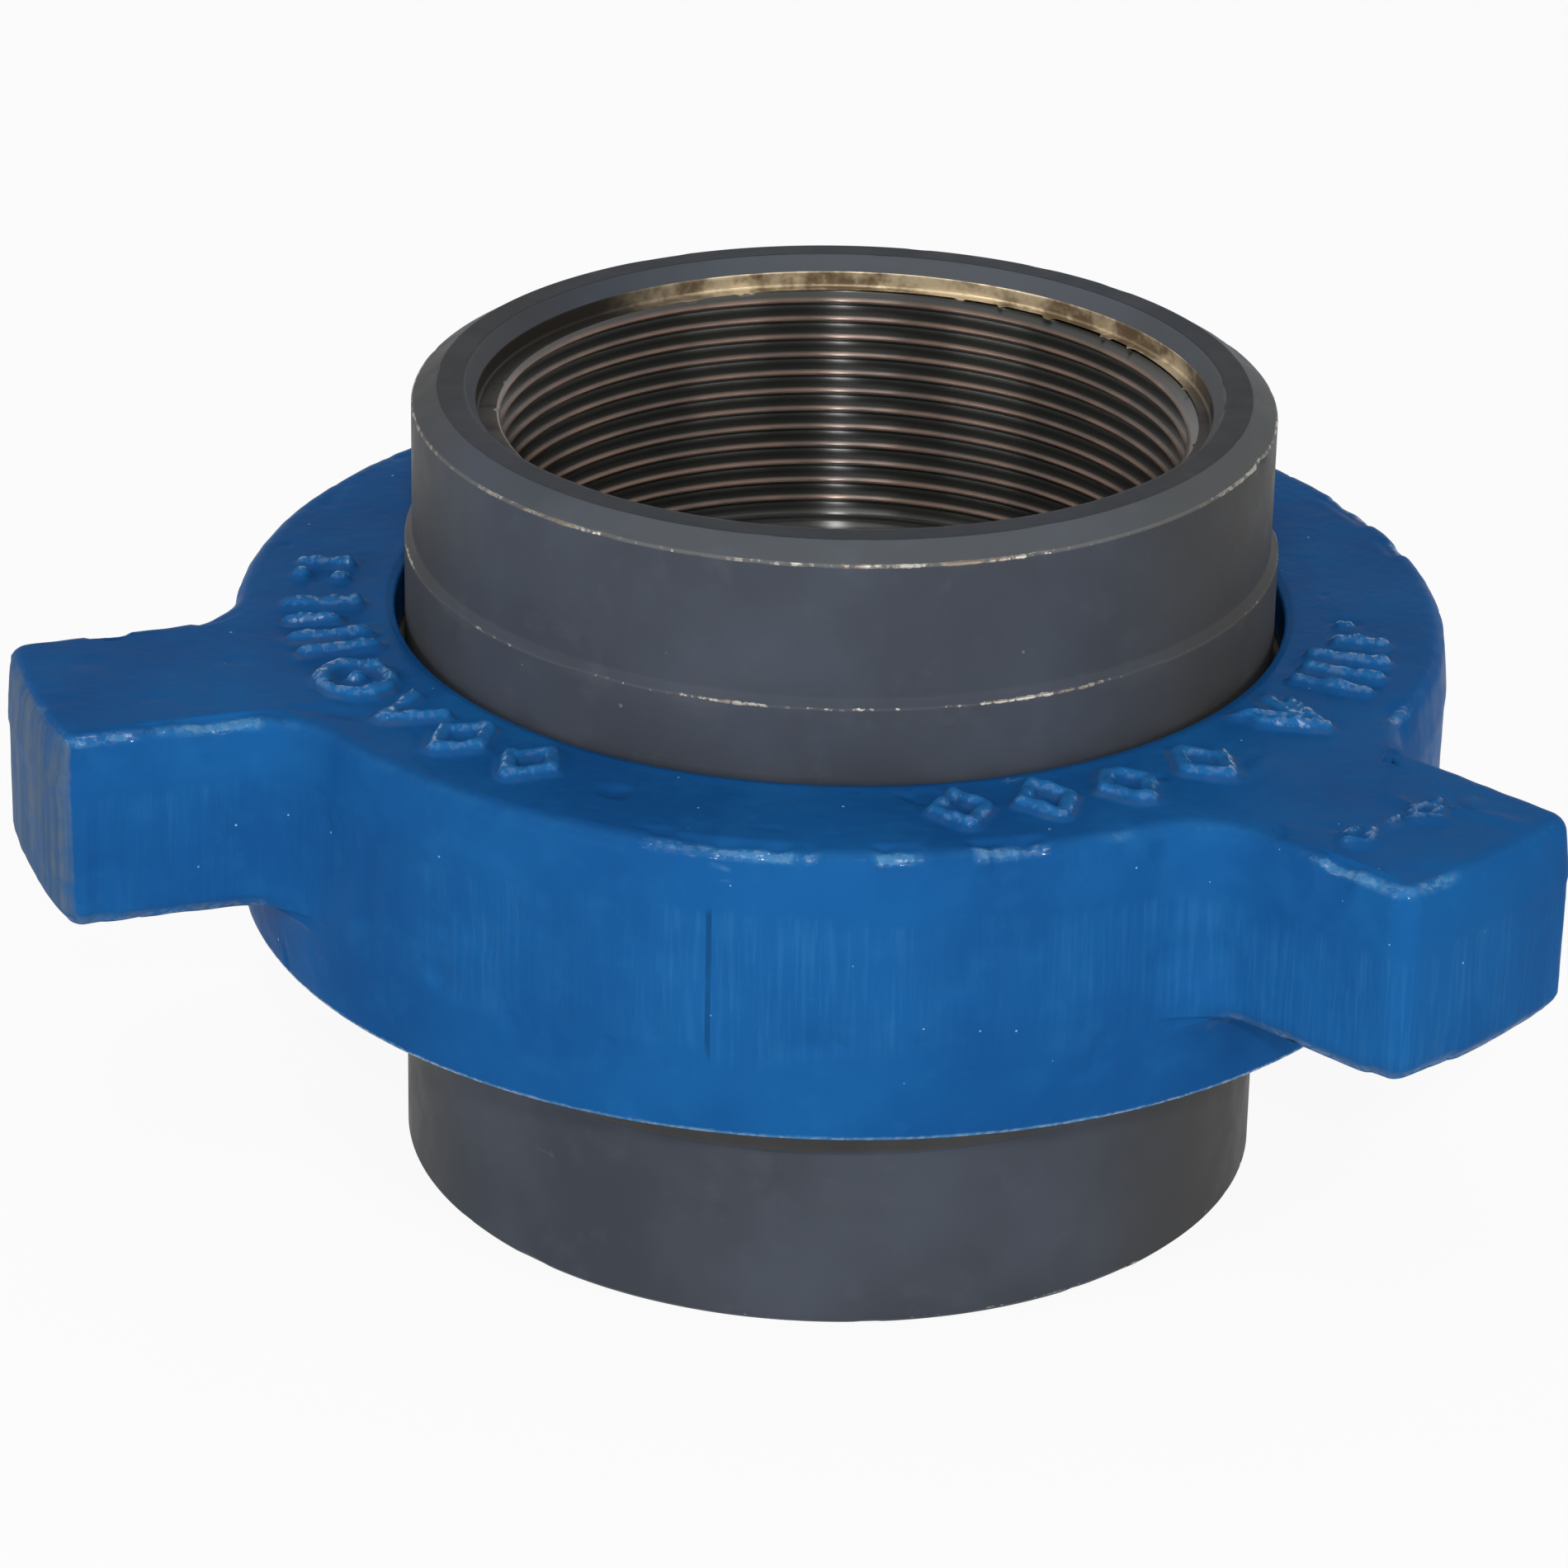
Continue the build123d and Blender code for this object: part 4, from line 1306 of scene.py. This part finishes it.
screw_thread, wire, shader, place = new_finish("greased screw thread")
crest = wire.value_of("crest")
blotch = wire.noise(place, 0.011, 4.0, 0.6)
groove = wire.mix(blotch, colour(38, 36, 33), colour(62, 58, 52))
base = wire.mix(wire.ramp(crest, 0.6, 0.98), groove, colour(124, 120, 112))
bumps = wire.lathe_lines(place, 0.0005, 0.03) + blotch * 0.8
finish_off(wire, shader, base, wire.blend(blotch, 0.30, 0.50), bumps, 0.06, wire.blend(crest, 0.6, 0.85))
finishes = (enamel, slate, recess_steel, pipe_thread, bare_steel, neck_in_painted_shadow, screw_thread)
print("finishes:", [finish.name for finish in finishes])

# %% [markdown]
# With the finishes made, the cutter can run. The nut's bore and the sub's head get the same
# wave from the same rule, so groove and crest stay face to face as the nut climbs.

# %% Cut the threads
SCREW = {"Pitch": SCREW_PITCH * MM, "Depth": SCREW_DEPTH * MM, "Flank steepness": 3.6, "Fade": 1e-5}
PIPE = {"Pitch": PIPE_PITCH * MM, "Depth": PIPE_DEPTH * MM, "Flank steepness": 1.2, "Inside": 1.0}


def pipe_sizes(zone, face_is_low):
    """Full depth at the mouth, and fading out over two turns at the far end."""
    low, high = zone
    run = 2 * PIPE_PITCH
    start = low - run if face_is_low else low
    end = high if face_is_low else high + run
    return {**PIPE, "Start": start * MM, "End": end * MM, "Fade": run * MM}


cut_threads(
    male_sub, [slate, recess_steel, pipe_thread, bare_steel, bare_steel], [pipe_sizes(male_zone, False)]
)
cut_threads(
    threaded_sub, [slate, recess_steel, pipe_thread, bare_steel, screw_thread, neck_in_painted_shadow],
    [pipe_sizes(threaded_zone, True), {**SCREW, "Start": 0.04, "End": 0.09, "Inside": 0.0}],
)
cut_threads(
    wing_nut, [enamel, bare_steel, screw_thread], [{**SCREW, "Start": 0.0, "End": 0.2, "Inside": 1.0}]
)

# %% Ride on the model's bodies
for piece, node, paint in (
    (male_sub, "male_sub", "sub_paint"),
    (threaded_sub, "threaded_sub", "sub_paint"),
    (wing_nut, "wing_nut", "nut_paint"),
):
    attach(piece, node)
    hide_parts(node)

# %% [markdown]
# The union stands on a plain pale floor. Camera and mirror rays see floor and background as
# plain white, with the union's own shadow kept in the part of the floor that is lit. The
# light is a dim even sky, a broad warm panel on each side in front, a weaker one above and
# a small lamp beside the camera, which draws the bright upright streak in the pipe thread.

# %% Floor, sky and lamps
def seen_rays(wire):
    """Up for rays from the camera, mirrors and glass, which should meet plain white."""
    rays = wire.node("ShaderNodeLightPath").outputs
    camera_ray, glossy, through = (
        Value(wire, rays[f"Is {kind} Ray"]) for kind in ("Camera", "Glossy", "Transmission")
    )
    return (camera_ray + (glossy + through)).clamped()


FLOOR_REACH = 3.0
corners = [(x * FLOOR_REACH, y * FLOOR_REACH, 0) for x, y in ((-1, -1), (1, -1), (1, 1), (-1, 1))]
floor_mesh = bpy.data.meshes.new("floor")
floor_mesh.from_pydata(corners, [], [(0, 1, 2, 3)])
floor = bpy.data.objects.new("floor", floor_mesh)
bpy.context.scene.collection.objects.link(floor)
floor_paint = bpy.data.materials.new("pale floor")
floor_paint.use_nodes = True
floor_paint.node_tree.nodes.clear()
wire = Wiring(floor_paint.node_tree)
matt = wire.add("ShaderNodeBsdfDiffuse", 0, Color=(0.92, 0.92, 0.92, 1.0))
white = wire.add("ShaderNodeEmission", 0, Color=(1.0, 1.0, 1.0, 1.0), Strength=1.0)
mixed = wire.feed_from("ShaderNodeMixShader", {}, 0, seen_rays(wire) * 0.92, matt, white)
wire.node("ShaderNodeOutputMaterial", Surface=Value(wire, mixed.outputs[0]))
floor_mesh.materials.append(floor_paint)

world = bpy.data.worlds.new("studio")
bpy.context.scene.world = world
world.use_nodes = True
world.node_tree.nodes.clear()
wire = Wiring(world.node_tree)
brightness = wire.blend(seen_rays(wire), 0.34, 1.0)
sky = wire.add("ShaderNodeBackground", 0, Color=(1.0, 1.0, 1.0, 1.0), Strength=brightness)
wire.node("ShaderNodeOutputWorld", Surface=sky)


def panel(name, side, rise, distance, size, power, tint):
    """A square soft lamp aimed at the union, from a side angle and a rise in degrees."""
    data = bpy.data.lights.new(name, "AREA")
    data.shape, data.size, data.energy, data.color = "SQUARE", size, power, tint
    lamp = bpy.data.objects.new(name, data)
    lamp.matrix_world = facing_aim(side, rise, distance)
    bpy.context.scene.collection.objects.link(lamp)


WARM, PLAIN = (1.0, 0.97, 0.92), (1.0, 1.0, 1.0)
panel("front left panel", -128.0, 14.0, 1.6, 0.7, 7.4, WARM)
panel("front right panel", -38.0, 12.0, 1.6, 0.7, 6.9, WARM)
panel("lamp by the camera", -77.0, 29.0, 1.5, 0.07, 5.4, PLAIN)
panel("overhead panel", -85.0, 58.0, 1.6, 0.5, 4.4, PLAIN)
print("lamps:", len(bpy.data.lights))
